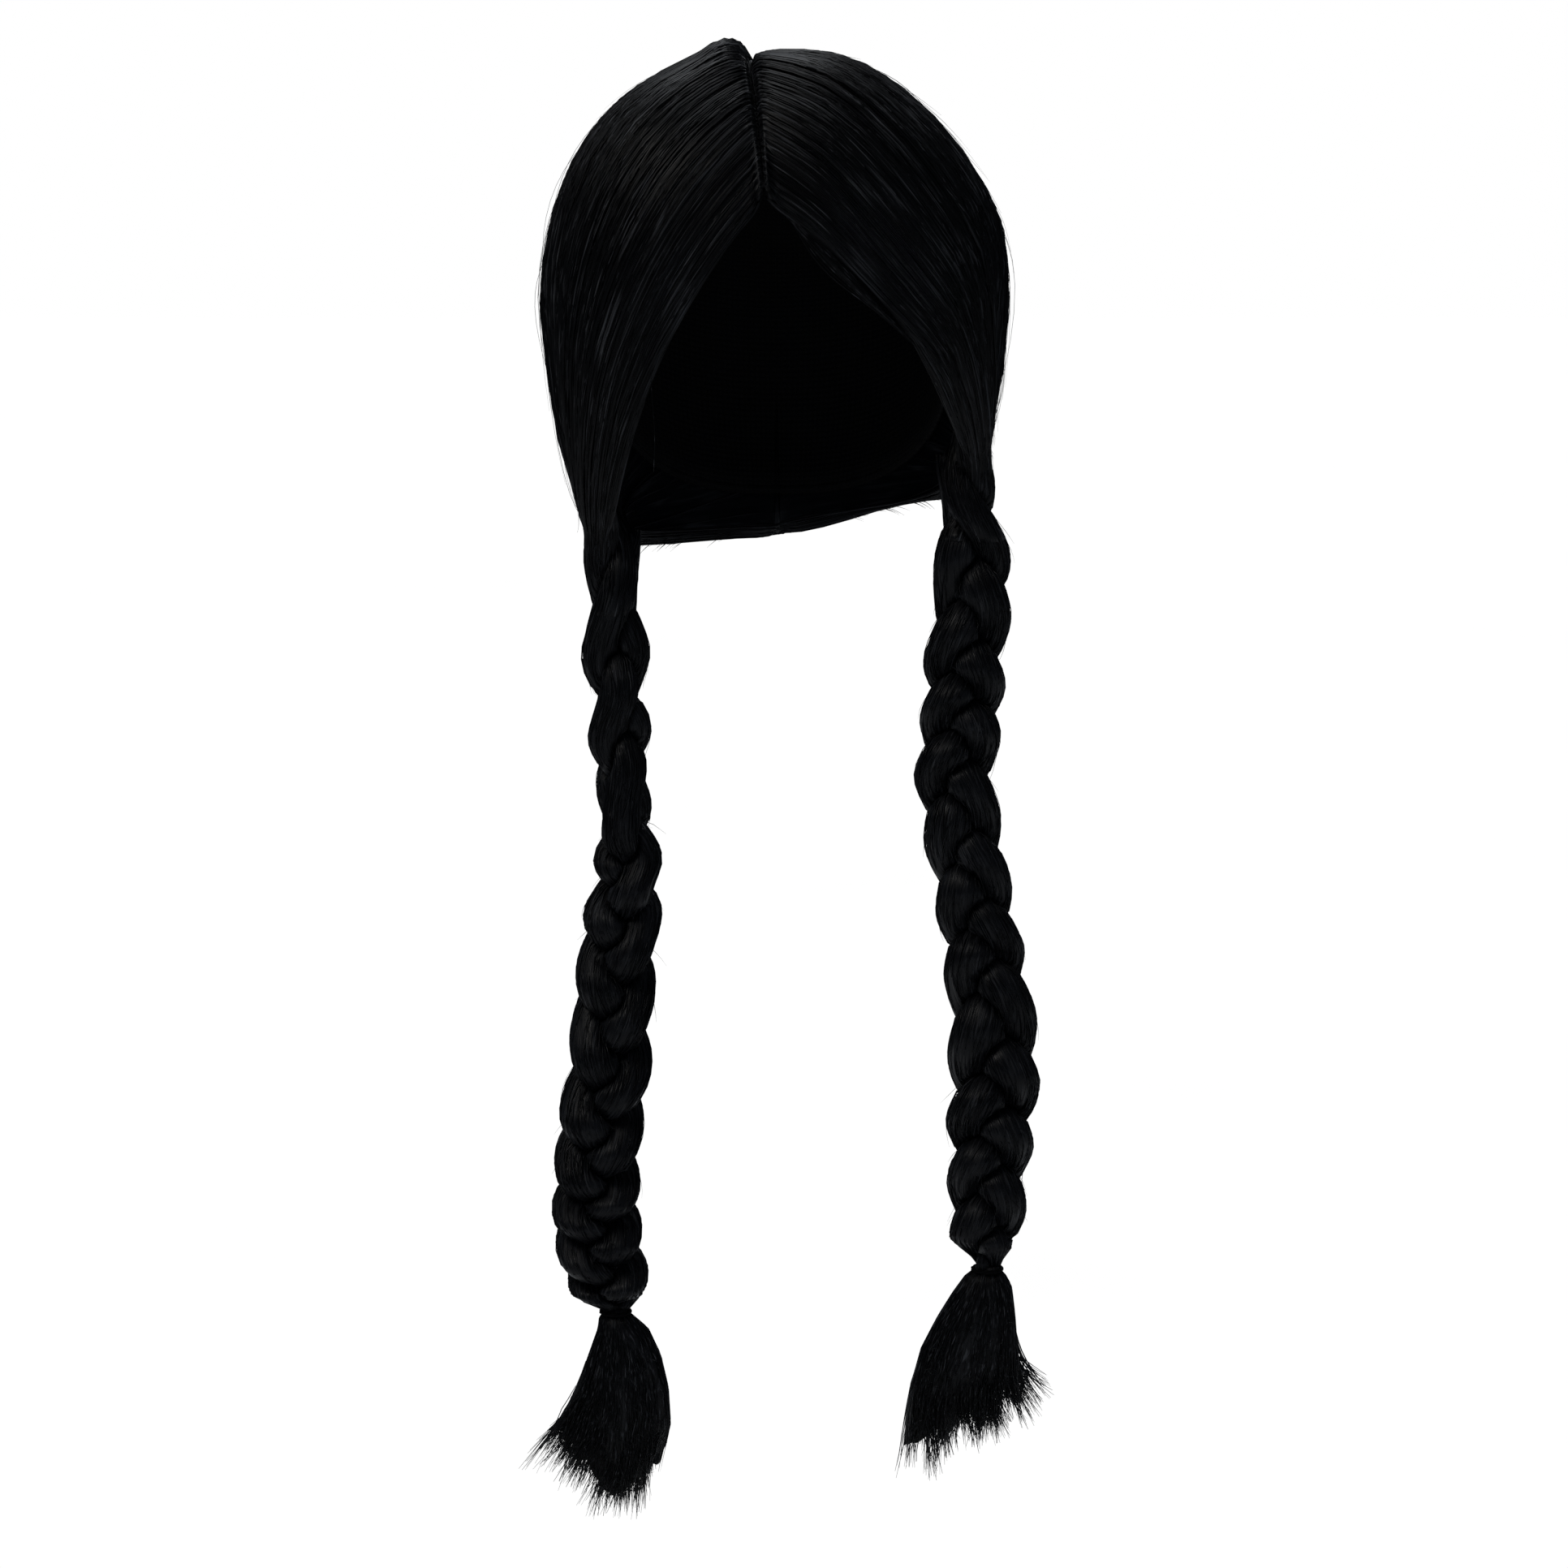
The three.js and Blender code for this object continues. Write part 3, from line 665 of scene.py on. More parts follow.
def bundleGrid(plait, bundle):  # rings round the bundle, run on over the top of its strand
    outerShares = np.linspace(0, 1, lay["across"])
    innerShares = np.linspace(1, 0, lay["inside"])
    fars = np.linspace(0, 1, lay["rows"]) ** 1.6
    ends = bundleFace(plait, bundle, np.array((0.0, 1.0)), fars, -1)
    margin = lay["margin"] / np.linalg.norm(ends[:, 1] - ends[:, 0], axis=-1).mean()

    def face(shares, facing):
        return bundleFace(plait, bundle, mix(margin, 1 - margin, shares), fars, facing)

    outer, inner = face(outerShares, 1), face(innerShares, -1)
    edgeShares = np.linspace(0, 1, lay["edge"] + 2)[1:-1]

    def edge(first, last, sideways, bowed=1.0):  # a rounded edge from one face to the other
        bow = 0.35 * np.sin(np.pi * edgeShares)[None, :, None] * bowed
        thick = np.linalg.norm(last - first, axis=-1)[:, None, None]
        line = mix(first[:, None], last[:, None], (0.5 - 0.5 * np.cos(np.pi * edgeShares))[None, :, None])
        return line + bow * thick * unit(sideways)[:, None]

    opening = smooth(fars, 0, 0.08)[:, None, None]
    rings = np.concatenate(
        (
            outer,
            edge(outer[:, -1], inner[:, 0], outer[:, -1] - outer[:, -3], opening),
            inner,
            edge(inner[:, -1], outer[:, 0], outer[:, 0] - outer[:, 2]),
        ),
        1,
    )
    outerAngles = landings(plait, bundle, outerShares, 1)
    innerAngles = landings(plait, bundle, innerShares, -1)
    turnStep = -360 if plait["out"] < 0 else 360
    innerEnds = np.degrees(innerAngles[0]), np.degrees(innerAngles[-1])
    edgeOne = np.linspace(np.degrees(outerAngles[-1]), innerEnds[0], lay["edge"] + 2)[1:-1]
    farther = np.degrees(outerAngles[0])
    while abs(farther - innerEnds[1]) > 180:
        farther += 360 if farther < innerEnds[1] else -360
    edgeTwo = np.linspace(innerEnds[1], farther, lay["edge"] + 2)[1:-1]
    if abs(edgeOne[0] - np.degrees(outerAngles[-1])) > 180:
        edgeOne = edgeOne + turnStep
    angles = np.concatenate((outerAngles, np.radians(edgeOne), innerAngles, np.radians(edgeTwo)))
    arrival, _ = strandSurface(plait, bundle["third"], np.zeros(1), angles, braid["gap"])
    rings = mix(rings, arrival, smooth(fars, lay["gatherFrom"], 1)[:, None, None])
    onward = np.linspace(0, lay["overlap"], lay["onward"] + 1)[1:]
    further, share = strandSurface(plait, bundle["third"], onward, angles, braid["gap"])
    grid = np.concatenate((rings, further))
    places = np.concatenate((fars, 1 + onward))
    turning = hump(places, (0.82, 0.93), (1.04, 1.08))[1:-1, None, None]
    for turn in range(lay["easing"]):  # no corner where the bundle turns down into the braid
        grid[1:-1] = mix(grid[1:-1], (grid[:-2] + 2 * grid[1:-1] + grid[2:]) / 4, turning)
    free = np.concatenate((np.ones(rings.shape[:2]), smooth(share, 0.92, 1.05)))
    lying = lay["cover"] * smooth(places, 0.9, 1)
    lying = lying - (lay["cover"] + lay["sink"]) * smooth(places, 1.045, places[-1])
    return grid + Skin(grid).outward * (lying[:, None] * free)[..., None], places


def scatter(random, weights, count):  # places from 0 to 1, thicker where the weights are larger
    edges = np.concatenate(((0,), np.cumsum(weights))) / np.sum(weights)
    shares = (np.arange(count) + random.uniform(0, 1, count)) / count
    return np.interp(shares, edges, np.linspace(0, 1, len(edges)))


hairSteps = np.array(  # closer together where a hair leaves the parting
    (0, 0.008, 0.022, 0.045, 0.09, 0.16, 0.24, 0.33, 0.42, 0.51, 0.6, 0.68, 0.76, 0.83, 0.89, 0.95, 1)
)
skins = {}


class Cover:  # a bundle's surface, read by the share of its hair's length
    def __init__(self, grid, places):
        self.skin = Skin(grid)
        self.places, self.rowShares = places, np.linspace(0, 1, len(places))

    def read(self, across, far):
        return self.skin.read(across, np.interp(far, self.places, self.rowShares))


def tucked(points):  # no tuft hangs below the middle of the nape
    central = 1 - smooth(np.abs(points[..., 0]), 0.001, 0.005)
    points[..., 2] = mix(points[..., 2], np.maximum(points[..., 2], lay["napeLow"]), central)
    return points


def makeBundle(side, name, seed):
    random = np.random.default_rng(seed)
    plait, bundle = plaits[side], bundles[name]
    grid, places = bundleGrid(plait, bundle)
    around, length = grid.shape[1], places[-1]
    cover = skins[side, name] = Cover(grid, places)
    body = Body()
    # ridges of combed hair on the solid form
    u, v = np.meshgrid(np.arange(around) / around, places)
    ridges = ridgeSheet(u, v / length, seed, lay["ridges"])
    settled = smooth(v, 0, 0.04) * (1 - 0.7 * smooth(v, 0.85, 1)) * (1 - smooth(v, 1.04, 1.09))
    form = tucked(grid + cover.skin.outward * (ridges * settled)[..., None])
    body.loft(form, np.arange(around) / around, places / length)
    # combed hairs in locks
    weights = np.zeros(around)
    weights[: lay["across"]] = 1
    weights[lay["across"] : lay["across"] + lay["edge"]] = 1.4 if bundle["end"] == 1 else 0.3
    weights[-lay["edge"] :] = 2.4 if bundle["start"] == 0 else 0.3  # thick at the edge of the face
    inside = slice(lay["across"] + lay["edge"], around - lay["edge"])
    weights[inside] = 0.15
    if bundle["start"] == 0:
        weights[inside][-6:] = 1.2
    count, locks = bundle["hairs"], lay["locks"]
    lockPlace = scatter(random, weights, locks)
    lockOf = np.sort(random.integers(0, locks, count))
    aside = random.normal(0, 1, count)
    steps = hairSteps[None]
    late = np.clip(random.uniform(-0.8, 0.5, count), 0, 1)[:, None] * 0.7
    early = np.clip(random.uniform(0.7, 1.3, count), 0, 1)[:, None]
    far = mix(late, early, steps) * length
    phase = random.uniform(0, 1, locks)[lockOf][:, None]
    gathering = 0.75 + 0.3 * np.cos(2 * np.pi * (far * 0.8 + phase))
    wander = random.normal(0, 0.0035, locks)[lockOf][:, None] * np.sin(np.pi * far / length)
    crossing = np.where(random.uniform(0, 1, count) < lay["crossing"], 4.0, 1.0)
    stray = (random.normal(0, 0.0035, count) * crossing)[:, None] * smooth(far, 0.05, 1)
    place = lockPlace[lockOf][:, None] + aside[:, None] * 0.45 / locks * gathering + wander + stray
    tuftWide = lay["across"] / around / lay["tufts"]  # at the parting the hair comes out in small tufts
    pinched = (np.floor(place / tuftWide) + 0.5) * tuftWide
    place = mix(place, pinched, 0.75 * (1 - smooth(far, 0.004, 0.06)))
    point, outward = cover.read(place, far)
    crown = random.uniform(0.2, 1, locks)[lockOf][:, None] * lay["lockHeight"]
    height = crown * np.clip(1 - (aside[:, None] / 2) ** 2, 0, 1)
    height = height + even(random, (-0.0001, lay["tallest"]), count)
    height = height + (crossing[:, None] > 1) * 0.0004
    springing = 0.0004 * hump(far, (0, 0.008), (0.012, 0.05))
    height = height * smooth(far, 0, 0.05) * (1 - 0.7 * smooth(far, 0.8, 1)) + springing
    height = height - 0.0007 * smooth(steps, 0.92, 1) - 0.0003 * smooth(far, 1.03, length)
    paths = tucked(point + outward * height[..., None])
    thick = lay["radius"] * unevenly(random, (0.5, 1.15), 0.2, 1.7, count)[:, None]
    taper = mix(0.15, 1, hump(steps, (0, 0.03), (0.9, 1)))
    radii = thick * taper * (1 - 0.4 * smooth(far, 0.8, 1.1))
    shade = np.mod(place[:, 0] + random.normal(0, 0.012, count), 1)
    body.hairs(paths, radii, outward, shade, far / length)
    # the back hair takes the lighter ground of painted bounce light, with weaker painted highlights
    finish = hairBlack["napeBlackPaintedBounce" if name == "backHair" else "bundleBlack"]
    return body.make(name + side.capitalize(), finish, "hair", bundle["node"] + "_" + side)


for number, side in enumerate(sides):
    for order, name in enumerate(bundleNames):
        makeBundle(side, name, 100 * (number + 1) + 10 * order)
print("hair over the head made")


# the strands of the braids

strandLook = {
    "slices": 140,
    "sides": 24,
    "hairs": 760,
    "span": 0.045,  # half of a hair's length, as a share of the braid's
    "radius": 0.0003,
    "height": 0.0008,
    "locks": 26,
    "thinTop": 0.2,
    "ridges": ((0.0004, 12, 22), (0.0002, 24, 30)),
    "fineRows": 420,
    "fineSides": 64,
    "free": 0.95,  # no hair where the strand is pressed below this share of its free form
}


def makeStrand(side, third, seed):
    random = np.random.default_rng(seed)
    plait = plaits[side]
    down = np.linspace(0.002, 1, strandLook["slices"])
    angles = evenTurns(strandLook["sides"])
    rings, share = strandSurface(plait, third, down, angles, braid["gap"])
    middle = braidAt(plait, down)["place"][:, third][:, None]
    # thinner below the hair that runs on from the bundle
    thinner = 1 - strandLook["thinTop"] * (1 - smooth(down, 0, 0.05))
    rings[..., :2] = middle[..., :2] + (rings - middle)[..., :2] * thinner[:, None, None]
    body = Body()
    u, v = np.meshgrid(angles / (2 * np.pi), down)
    skin = Skin(rings)
    height = ridgeSheet(u, v, seed, strandLook["ridges"]) * (1 - smooth(v, 0.94, 0.99))
    height = height * smooth(share, 0.9, 1.1)
    body.loft(rings + skin.outward * height[..., None], u[0], down)
    # hairs, only where the strand is free of the other two
    rows, around = strandLook["fineRows"], strandLook["fineSides"]
    grid, free = strandSurface(plait, third, np.linspace(0, 1, rows), evenTurns(around), braid["gap"])
    whole = skins[side, third] = Skin(grid)
    tries = strandLook["hairs"] * 6
    start, place = random.uniform(0.01, 1, tries), random.uniform(0, 1, tries)
    row = np.round(start * (rows - 1)).astype(int)
    column = np.round(place * around).astype(int) % around
    kept = np.flatnonzero(free[row, column] > strandLook["free"])[: strandLook["hairs"]]
    start, place, count = start[kept], place[kept], len(kept)
    steps = np.linspace(-1, 1, 8)[None]
    span = strandLook["span"] * even(random, (0.7, 1.3), count)
    flow = np.clip(start[:, None] + steps * span, 0, 1)
    drift = near(random, 0.025, count) * steps
    bunch = 0.012 * np.sin(2 * np.pi * (place * strandLook["locks"]))[:, None]
    point, outward = whole.read(place[:, None] + drift + bunch, flow)
    crown = 0.5 + 0.5 * np.cos(2 * np.pi * place * strandLook["locks"])[:, None]
    height = strandLook["height"] * (0.2 + 0.8 * crown) * even(random, (0.2, 1), count)
    height = height * (1 - steps**2) * (1 - smooth(flow, 0.94, 0.985)) - 0.0003 * steps**4
    taper = 1 - 0.85 * smooth(np.abs(steps), 0.6, 1)
    thick = unevenly(random, (0.5, 1.2), 0.2, 1.6, count)
    radii = strandLook["radius"] * thick[:, None] * taper
    shade = np.mod(place + random.normal(0, 0.03, count), 1)
    body.hairs(point + outward * height[..., None], radii, outward, shade, flow)
    name, node = f"braidStrand{third + 1}{side.capitalize()}", f"braid_strand_{third + 1}_{side}"
    return body.make(name, hairBlack["strandBlack"], "hair", node)


for number, side in enumerate(sides):
    for third in range(3):
        makeStrand(side, third, 1000 * (number + 1) + 10 * third)
print("braids made")


# the loose ends

endLook = {
    "hairs": 360,
    "tipHairs": 1080,
    "curls": 34,
    "dense": (0.96, 0.8),  # how far the dense part reaches, and on the side where the tips spread
    "locks": 44,
    "radius": 0.0003,
    "shares": (0, 0.024, 0.06, 0.2, 0.4, 0.6, 0.8, 1),
    "halfDepth": (0.0052, 0.0054, 0.0066, 0.0092, 0.0115, 0.0122, 0.0105, 0.005),
    "neck": 0.0054,
    "neckDown": (0.0006, -0.0019),
    "crimp": 0.004,  # in turns round the end
    "tipReach": (0.94, 1.15),
    "tipSpread": (0.09, 0.2),  # of a lock's hairs, from side to side and from front to back
    "tipClosing": 0.88,
    "curlSize": (0.0018, 0.0045),
    "curlTurns": (0.3, 0.75),
    "curlRadius": 0.00016,
    "ragged": 0.07,  # the dense part's own edge
    "ridges": ((0.0007, 22, 5), (0.0004, 36, 9)),
}
ahead = np.array((0, -1.0, 0))
ends = {  # in mm, for places from the wearer's right to left, where the hair is at each share of its length
    "right": {
        "across": (
            (-7.0, -7.7, -11.9, -16.3, -22.6, -34.7),
            (-3.4, -3.3, -5.0, -7.3, -11.2, -18.1),
            (0.0, 1.1, 2.0, 1.8, 0.2, -3.3),
            (3.5, 7.7, 11.0, 12.4, 12.7, 10.9),
            (8.2, 14.4, 20.0, 23.1, 24.1, 20.3),
        ),
        "down": (
            (-3.5, -9.6, -21.6, -34.9, -46.9, -64.9),
            (-4.5, -13.2, -27.6, -42.7, -57.7, -72.1),
            (-5.0, -16.8, -33.7, -50.5, -68.5, -85.9),
            (-4.5, -13.2, -28.2, -43.9, -60.7, -79.9),
            (-3.5, -9.6, -22.8, -37.3, -52.9, -70.9),
        ),
        "flare": -0.0022,
    },
    "left": {
        "across": (
            (-9.0, -14.0, -21.8, -28.7, -33.6, -36.3),
            (-4.4, -7.4, -12.6, -17.3, -20.7, -21.8),
            (0.0, -0.8, -3.0, -5.2, -7.4, -9.1),
            (3.8, 5.3, 5.1, 4.2, 3.3, 3.6),
            (7.9, 10.8, 12.3, 13.3, 13.7, 17.5),
        ),
        "down": (
            (-3.5, -11.2, -24.7, -38.7, -56.7, -79.7),
            (-4.5, -13.5, -28.1, -43.8, -61.1, -81.3),
            (-5.0, -13.5, -27.5, -42.1, -55.5, -70.7),
            (-4.5, -12.9, -26.9, -41.0, -55.5, -70.7),
            (-3.5, -9.5, -21.9, -35.3, -47.7, -63.4),
        ),
        "flare": 0.011,
    },
}
for side in sides:
    columns = np.linspace(-1, 1, 5)
    neck = endLook["neck"] * columns[:, None] * np.array((0.97, 1.0))
    ends[side]["x"] = np.concatenate((neck, np.array(ends[side]["across"]) * 0.001), 1)
    neckDown = np.tile(endLook["neckDown"], (5, 1))
    ends[side]["z"] = np.concatenate((neckDown, np.array(ends[side]["down"]) * 0.001), 1)


def endPoint(side, across, through, share):  # across and through from -1 to 1, share past 1 beyond the tips
    end, foot = ends[side], braidAt(plaits[side], np.ones(1))["middle"][0]
    across, through, share = np.broadcast_arrays(across, through, share)
    inside = np.clip(share, 0, 1)
    column = np.clip((across + 1) * 2, 0, 3.999)
    low = np.floor(column).astype(int)
    part = column - low
    tables = []
    for name in ("x", "z"):
        lines = np.stack([np.interp(inside, endLook["shares"], line) for line in end[name]])
        slopes = (end[name][:, -1] - end[name][:, -2]) / (endLook["shares"][-1] - endLook["shares"][-2])
        lines = lines + np.multiply.outer(slopes, share - inside)
        sideOne, sideTwo = (np.take_along_axis(lines, low[None] + step, 0)[0] for step in (0, 1))
        tables.append(mix(sideOne, sideTwo, part))
    depth = np.interp(share, endLook["shares"], endLook["halfDepth"]) * through
    return np.stack((tables[0], depth, tables[1]), -1) + foot


def denseReach(side, across):
    spreading = smooth(across * np.sign(ends[side]["flare"]), 0.05, 0.9)
    return mix(endLook["dense"][0], endLook["dense"][1], spreading)


def addDensePart(body, side, seed):
    around, rows = 110, 44
    turns, rowShares = evenTurns(around), np.linspace(0, 1, rows)
    ragged = endLook["ragged"] * noiseSheet(turns / (2 * np.pi), np.zeros(around), seed, 38, 1)
    reach = denseReach(side, np.cos(turns)) + ragged
    share = rowShares[:, None] * mix(endLook["dense"][0], reach, smooth(rowShares, 0.3, 1)[:, None])
    flatter = 1 - 0.8 * smooth(rowShares, 0.7, 1)[:, None]
    grid = endPoint(side, np.cos(turns)[None], np.sin(turns)[None] * flatter, share)
    skin = Skin(grid)
    u, v = np.meshgrid(turns / (2 * np.pi), rowShares)
    height = ridgeSheet(u, v, seed, endLook["ridges"]) * smooth(v, 0.03, 0.2)
    body.loft(grid + skin.outward * height[..., None], u[0], rowShares)


def addLongHairs(body, random, side):  # over the dense part, a little crimped
    count, locks = endLook["hairs"], endLook["locks"]
    steps = np.linspace(0, 1, 13)[None]
    lockTurn = random.uniform(0, 1, locks)
    lockOf = random.integers(0, locks, count)
    reach = random.uniform(0.82, 1.04, locks)[lockOf] * random.uniform(0.85, 1.03, count)
    reach = np.minimum(reach, 1.06)[:, None]
    shares = 0.015 + steps * (reach - 0.015)
    waves = shares * even(random, (4, 7), count) + even(random, (0, 1), count)
    crimp = endLook["crimp"] * np.sin(2 * np.pi * waves)
    spread = near(random, 0.02, count) * (1 - 0.5 * smooth(steps, 0.6, 1))
    turned = 2 * np.pi * (lockTurn[lockOf][:, None] + spread + crimp * smooth(steps, 0.1, 0.4))
    proud = 1 + even(random, (0, 0.07), count) * smooth(steps, 0.05, 0.3)
    narrow = 1 - even(random, (0.1, 0.8), count) * smooth(steps, 0.75, 1)
    paths = endPoint(side, np.clip(np.cos(turned) * proud, -1, 1), np.sin(turned) * proud * narrow, shares)
    outward = unit(np.stack((np.cos(turned), np.sin(turned) * 0.6, 0 * turned), -1))
    taper = mix(1, 0.2, smooth(steps, 0.7, 1)) * mix(0.5, 1, smooth(steps, 0, 0.1))
    body.wisps(random, endLook["radius"], (0.5, 1.2), paths, outward, taper, steps)


def addTips(body, random, side):  # shorter hairs in wispy locks
    count = endLook["tipHairs"]
    steps = np.linspace(0, 1, 7)[None]
    tipLocks = endLook["locks"] * 2
    towards = np.sign(ends[side]["flare"])
    # more of them where the tips spread
    lockAcross = towards * (2 * random.uniform(0, 1, tipLocks) ** 0.7 - 1)
    lockThrough = random.uniform(-1, 1, tipLocks)
    spreading = smooth(lockAcross * towards, 0.1, 0.8)
    lockFlare = random.uniform(-0.2, 1, tipLocks)
    lockReach = random.uniform(*endLook["tipReach"], tipLocks) - 0.07 * spreading
    lockLean = random.uniform(-0.003, 0.003, tipLocks)
    lockOf = random.integers(0, tipLocks, count)
    close = 1 - endLook["tipClosing"] * smooth(steps, 0.3, 1)
    across = lockAcross[lockOf][:, None] + near(random, endLook["tipSpread"][0], count) * close
    through = lockThrough[lockOf][:, None] + near(random, endLook["tipSpread"][1], count) * close
    leaving = (denseReach(side, lockAcross)[lockOf] - random.uniform(0.12, 0.32, count))[:, None]
    ending = (lockReach[lockOf] * random.uniform(0.9, 1.04, count))[:, None]
    paths = endPoint(side, np.clip(across, -1, 1), np.clip(through, -1, 1), mix(leaving, ending, steps))
    flare = (ends[side]["flare"] * lockFlare * mix(0.3, 1, spreading) + lockLean)[lockOf]
    paths[..., 0] += flare[:, None] * steps**2 + near(random, 0.0014, count) * steps**2
    paths[..., 1] += near(random, 0.002, count) * steps**2
    taper = mix(1, 0.3, smooth(steps, 0.6, 1)) * mix(0.4, 1, smooth(steps, 0, 0.2))
    body.wisps(random, endLook["radius"] * 0.9, (0.5, 1.2), paths, ahead, taper, steps)


def addCurls(body, random, side):  # curled ends that lie over the front
    count = endLook["curls"]
    steps = np.linspace(0, 1, 13)[None]
    size = even(random, endLook["curlSize"], count)
    bend = 2 * np.pi * (even(random, (0, 1), count) + even(random, endLook["curlTurns"], count) * steps)
    across, down = even(random, (-0.85, 0.85), count), even(random, (0.35, 0.95), count)
    paths = endPoint(side, across, -0.95, down + 0 * steps)
    paths = paths + size[..., None] * np.stack((np.cos(bend), 0 * bend, np.sin(bend)), -1)
    paths[..., 1] -= 0.0004 + 0.0012 * np.sin(np.pi * steps)
    body.wisps(random, endLook["curlRadius"], (0.7, 1.2), paths, ahead, mix(0.3, 1, np.sin(np.pi * steps)), steps)


def makeEnd(side, seed):
    random = np.random.default_rng(seed)
    body = Body()
    addDensePart(body, side, seed)
    addLongHairs(body, random, side)
    addTips(body, random, side)
    addCurls(body, random, side)
    return body.make("braidEnd" + side.capitalize(), hairBlack["looseBlack"], "hair", "braid_end_" + side)


for number, side in enumerate(sides):
    makeEnd(side, 5000 + number)
print("loose ends made")


# single hairs that have come loose

strayLook = {
    "radius": 0.00012,
    "overHead": {"frontHair": 90, "sideHair": 110, "backHair": 50},
    "shortOverHead": 170,
    "perStrand": 60,
    "atNape": 50,
    "napeDrop": (0.0015, 0.0065),
    "inLock": 80,
    "lockAway": 0.0052,  # how far the thin lock hangs off the edge of the front hair
    "longHair": (  # a single hair on the other side
        (-0.057, -0.069, -0.085),
        (-0.0525, -0.075, -0.105),
        (-0.0518, -0.077, -0.125),
        (-0.0505, -0.076, -0.142),
        (-0.0512, -0.075, -0.157),
    ),
}
frontEdge = 1 - 0.5 * lay["edge"] / ringPoints  # places round a bundle
napeEdge = (lay["across"] + 0.5 * lay["edge"]) / ringPoints
outerEnd = lay["across"] / ringPoints


def strayTaper(steps):
    return mix(0.25, 1, hump(steps, (0, 0.15), (0.6, 1)))


def addOverHead(body, random, side):
    steps = np.linspace(0, 1, 11)[None]
    for name, count in strayLook["overHead"].items():
        start, span = even(random, (0.0, 0.7), count), even(random, (0.12, 0.4), count)
        place = even(random, (0, outerEnd), count) + near(random, 0.03, count) * steps
        point, outward = skins[side, name].read(place, np.minimum(start + span * steps, 1.05))
        tallest = even(random, (0.0008, 0.0042), count)
        shape = np.where(even(random, (0, 1), count) < 0.5, np.sin(np.pi * steps), steps**1.5)
        paths = point + outward * (0.0002 + tallest * shape)[..., None]
        body.wisps(random, strayLook["radius"], (0.7, 1.3), paths, outward, strayTaper(steps), steps)


def addShortOverHead(body, random, side):
    steps = np.linspace(0, 1, 6)[None]
    for name in ("frontHair", "sideHair"):
        count = strayLook["shortOverHead"]
        start = even(random, (0.02, 0.9), count)
        place = even(random, (0, outerEnd), count) + near(random, 0.02, count) * steps
        point, outward = skins[side, name].read(place, start + even(random, (0.05, 0.12), count) * steps)
        tallest = even(random, (0.0008, 0.0024), count)
        paths = point + outward * (0.0003 + tallest * steps**1.3)[..., None]
        body.wisps(random, strayLook["radius"], (0.6, 1.1), paths, outward, strayTaper(steps), steps)


def addNapeWisps(body, random, side):  # along the hem at the nape
    steps = np.linspace(0, 1, 11)[None]
    count = strayLook["atNape"]
    start = even(random, (0.15, 0.95), count)
    place = napeEdge + near(random, 0.01, count)
    point, outward = skins[side, "backHair"].read(place + 0 * steps, np.minimum(start + 0.09 * steps, 1.05))
    drop = even(random, strayLook["napeDrop"], count) * steps**1.6
    paths = point - np.array((0, 0, 1.0)) * drop[..., None]
    body.wisps(random, strayLook["radius"] * 1.2, (0.7, 1.3), paths, outward, strayTaper(steps), steps)


def addBraidStrays(body, random, side):  # short ends standing out of the braids
    steps = np.linspace(0, 1, 7)[None]
    count = strayLook["perStrand"]
    for third in range(3):
        start, place = even(random, (0.05, 0.93), count), even(random, (0, 1), count)
        turned = place + near(random, 0.05, count) * steps
        point, outward = skins[side, third].read(turned, start + even(random, (0.02, 0.06), count) * steps)
        tallest = unevenly(random, (0.0008, 0.0035), 0.12, 2.0, count)[:, None]
        paths = point + outward * (tallest * steps**1.4)[..., None]
        body.wisps(random, strayLook["radius"], (0.7, 1.2), paths, outward, strayTaper(steps), steps)


def makeStrays(side, seed):
    random = np.random.default_rng(seed)
    body = Body()
    for add in (addOverHead, addShortOverHead, addNapeWisps, addBraidStrays):
        add(body, random, side)
    return body.make("strayHair" + side.capitalize(), hairBlack["looseBlack"], "hair")


def makeLooseLock():  # a thin lock that has slipped forward from the front hair on the wearer's left
    random = np.random.default_rng(77)
    count = strayLook["inLock"]
    steps = np.linspace(0, 1, 17)[None]
    spread = near(random, 1, count)
    far = mix(0.06, 0.62, steps) + near(random, 0.015, count) * (1 - steps)
    point, outward = skins["left", "frontHair"].read(np.full((count, 17), frontEdge), far)
    away = strayLook["lockAway"] + 0.0009 * spread * (1 + 0.6 * np.sin(2 * np.pi * steps))
    away = np.sin(np.pi * steps) ** 0.8 * away
    paths = point + away[..., None] * unit(np.array((-0.75, -0.1, -0.65)))
    paths[..., 1] += near(random, 0.0008, count) * np.sin(np.pi * steps)
    body = Body()
    body.wisps(random, 0.0002, (0.6, 1.2), paths, outward, strayTaper(steps), steps)
    # one long hair that hangs free on the other side
    line = np.array(strayLook["longHair"])
    steps = np.linspace(0, 1, 17)
    long = np.stack([np.interp(steps, np.linspace(0, 1, 5), line[:, i]) for i in range(3)], -1)
    long[1:-1] = (long[:-2] + long[1:-1] + long[2:]) / 3
    body.hairs(long[None], np.full((1, 17), 0.00013), np.array((0, -1.0, 0.2)), np.zeros(1), steps[None])
    return body.make("looseLocks", hairBlack["looseBlack"], "hair")


for number, side in enumerate(sides):
    makeStrays(side, 7000 + number)
makeLooseLock()
print("loose hairs made")


# the ties

tieLook = {
    "turns": 3,
    "around": 120,
    "section": 10,
    "strand": 0.0005,
    "twist": 0.0004,
    "ribs": 60,
    "out": 0.0007,
    "dark": (0.0005, 0.0005, 0.0006, 1),
    "light": (0.0018, 0.0018, 0.002, 1),
}


def makeTieFinish():
    finish = Finish("elasticBlack")
    ribs = finish.noise(finish.flow(6, 160), 1)
    colour = finish.colours(ribs, tieLook["dark"], tieLook["light"])
    return finish.feed(
        baseColour=colour, roughness=0.7 + 0.2 * ribs, normal=finish.bump(ribs, 0.4, 0.0002), specular=0.03
    )


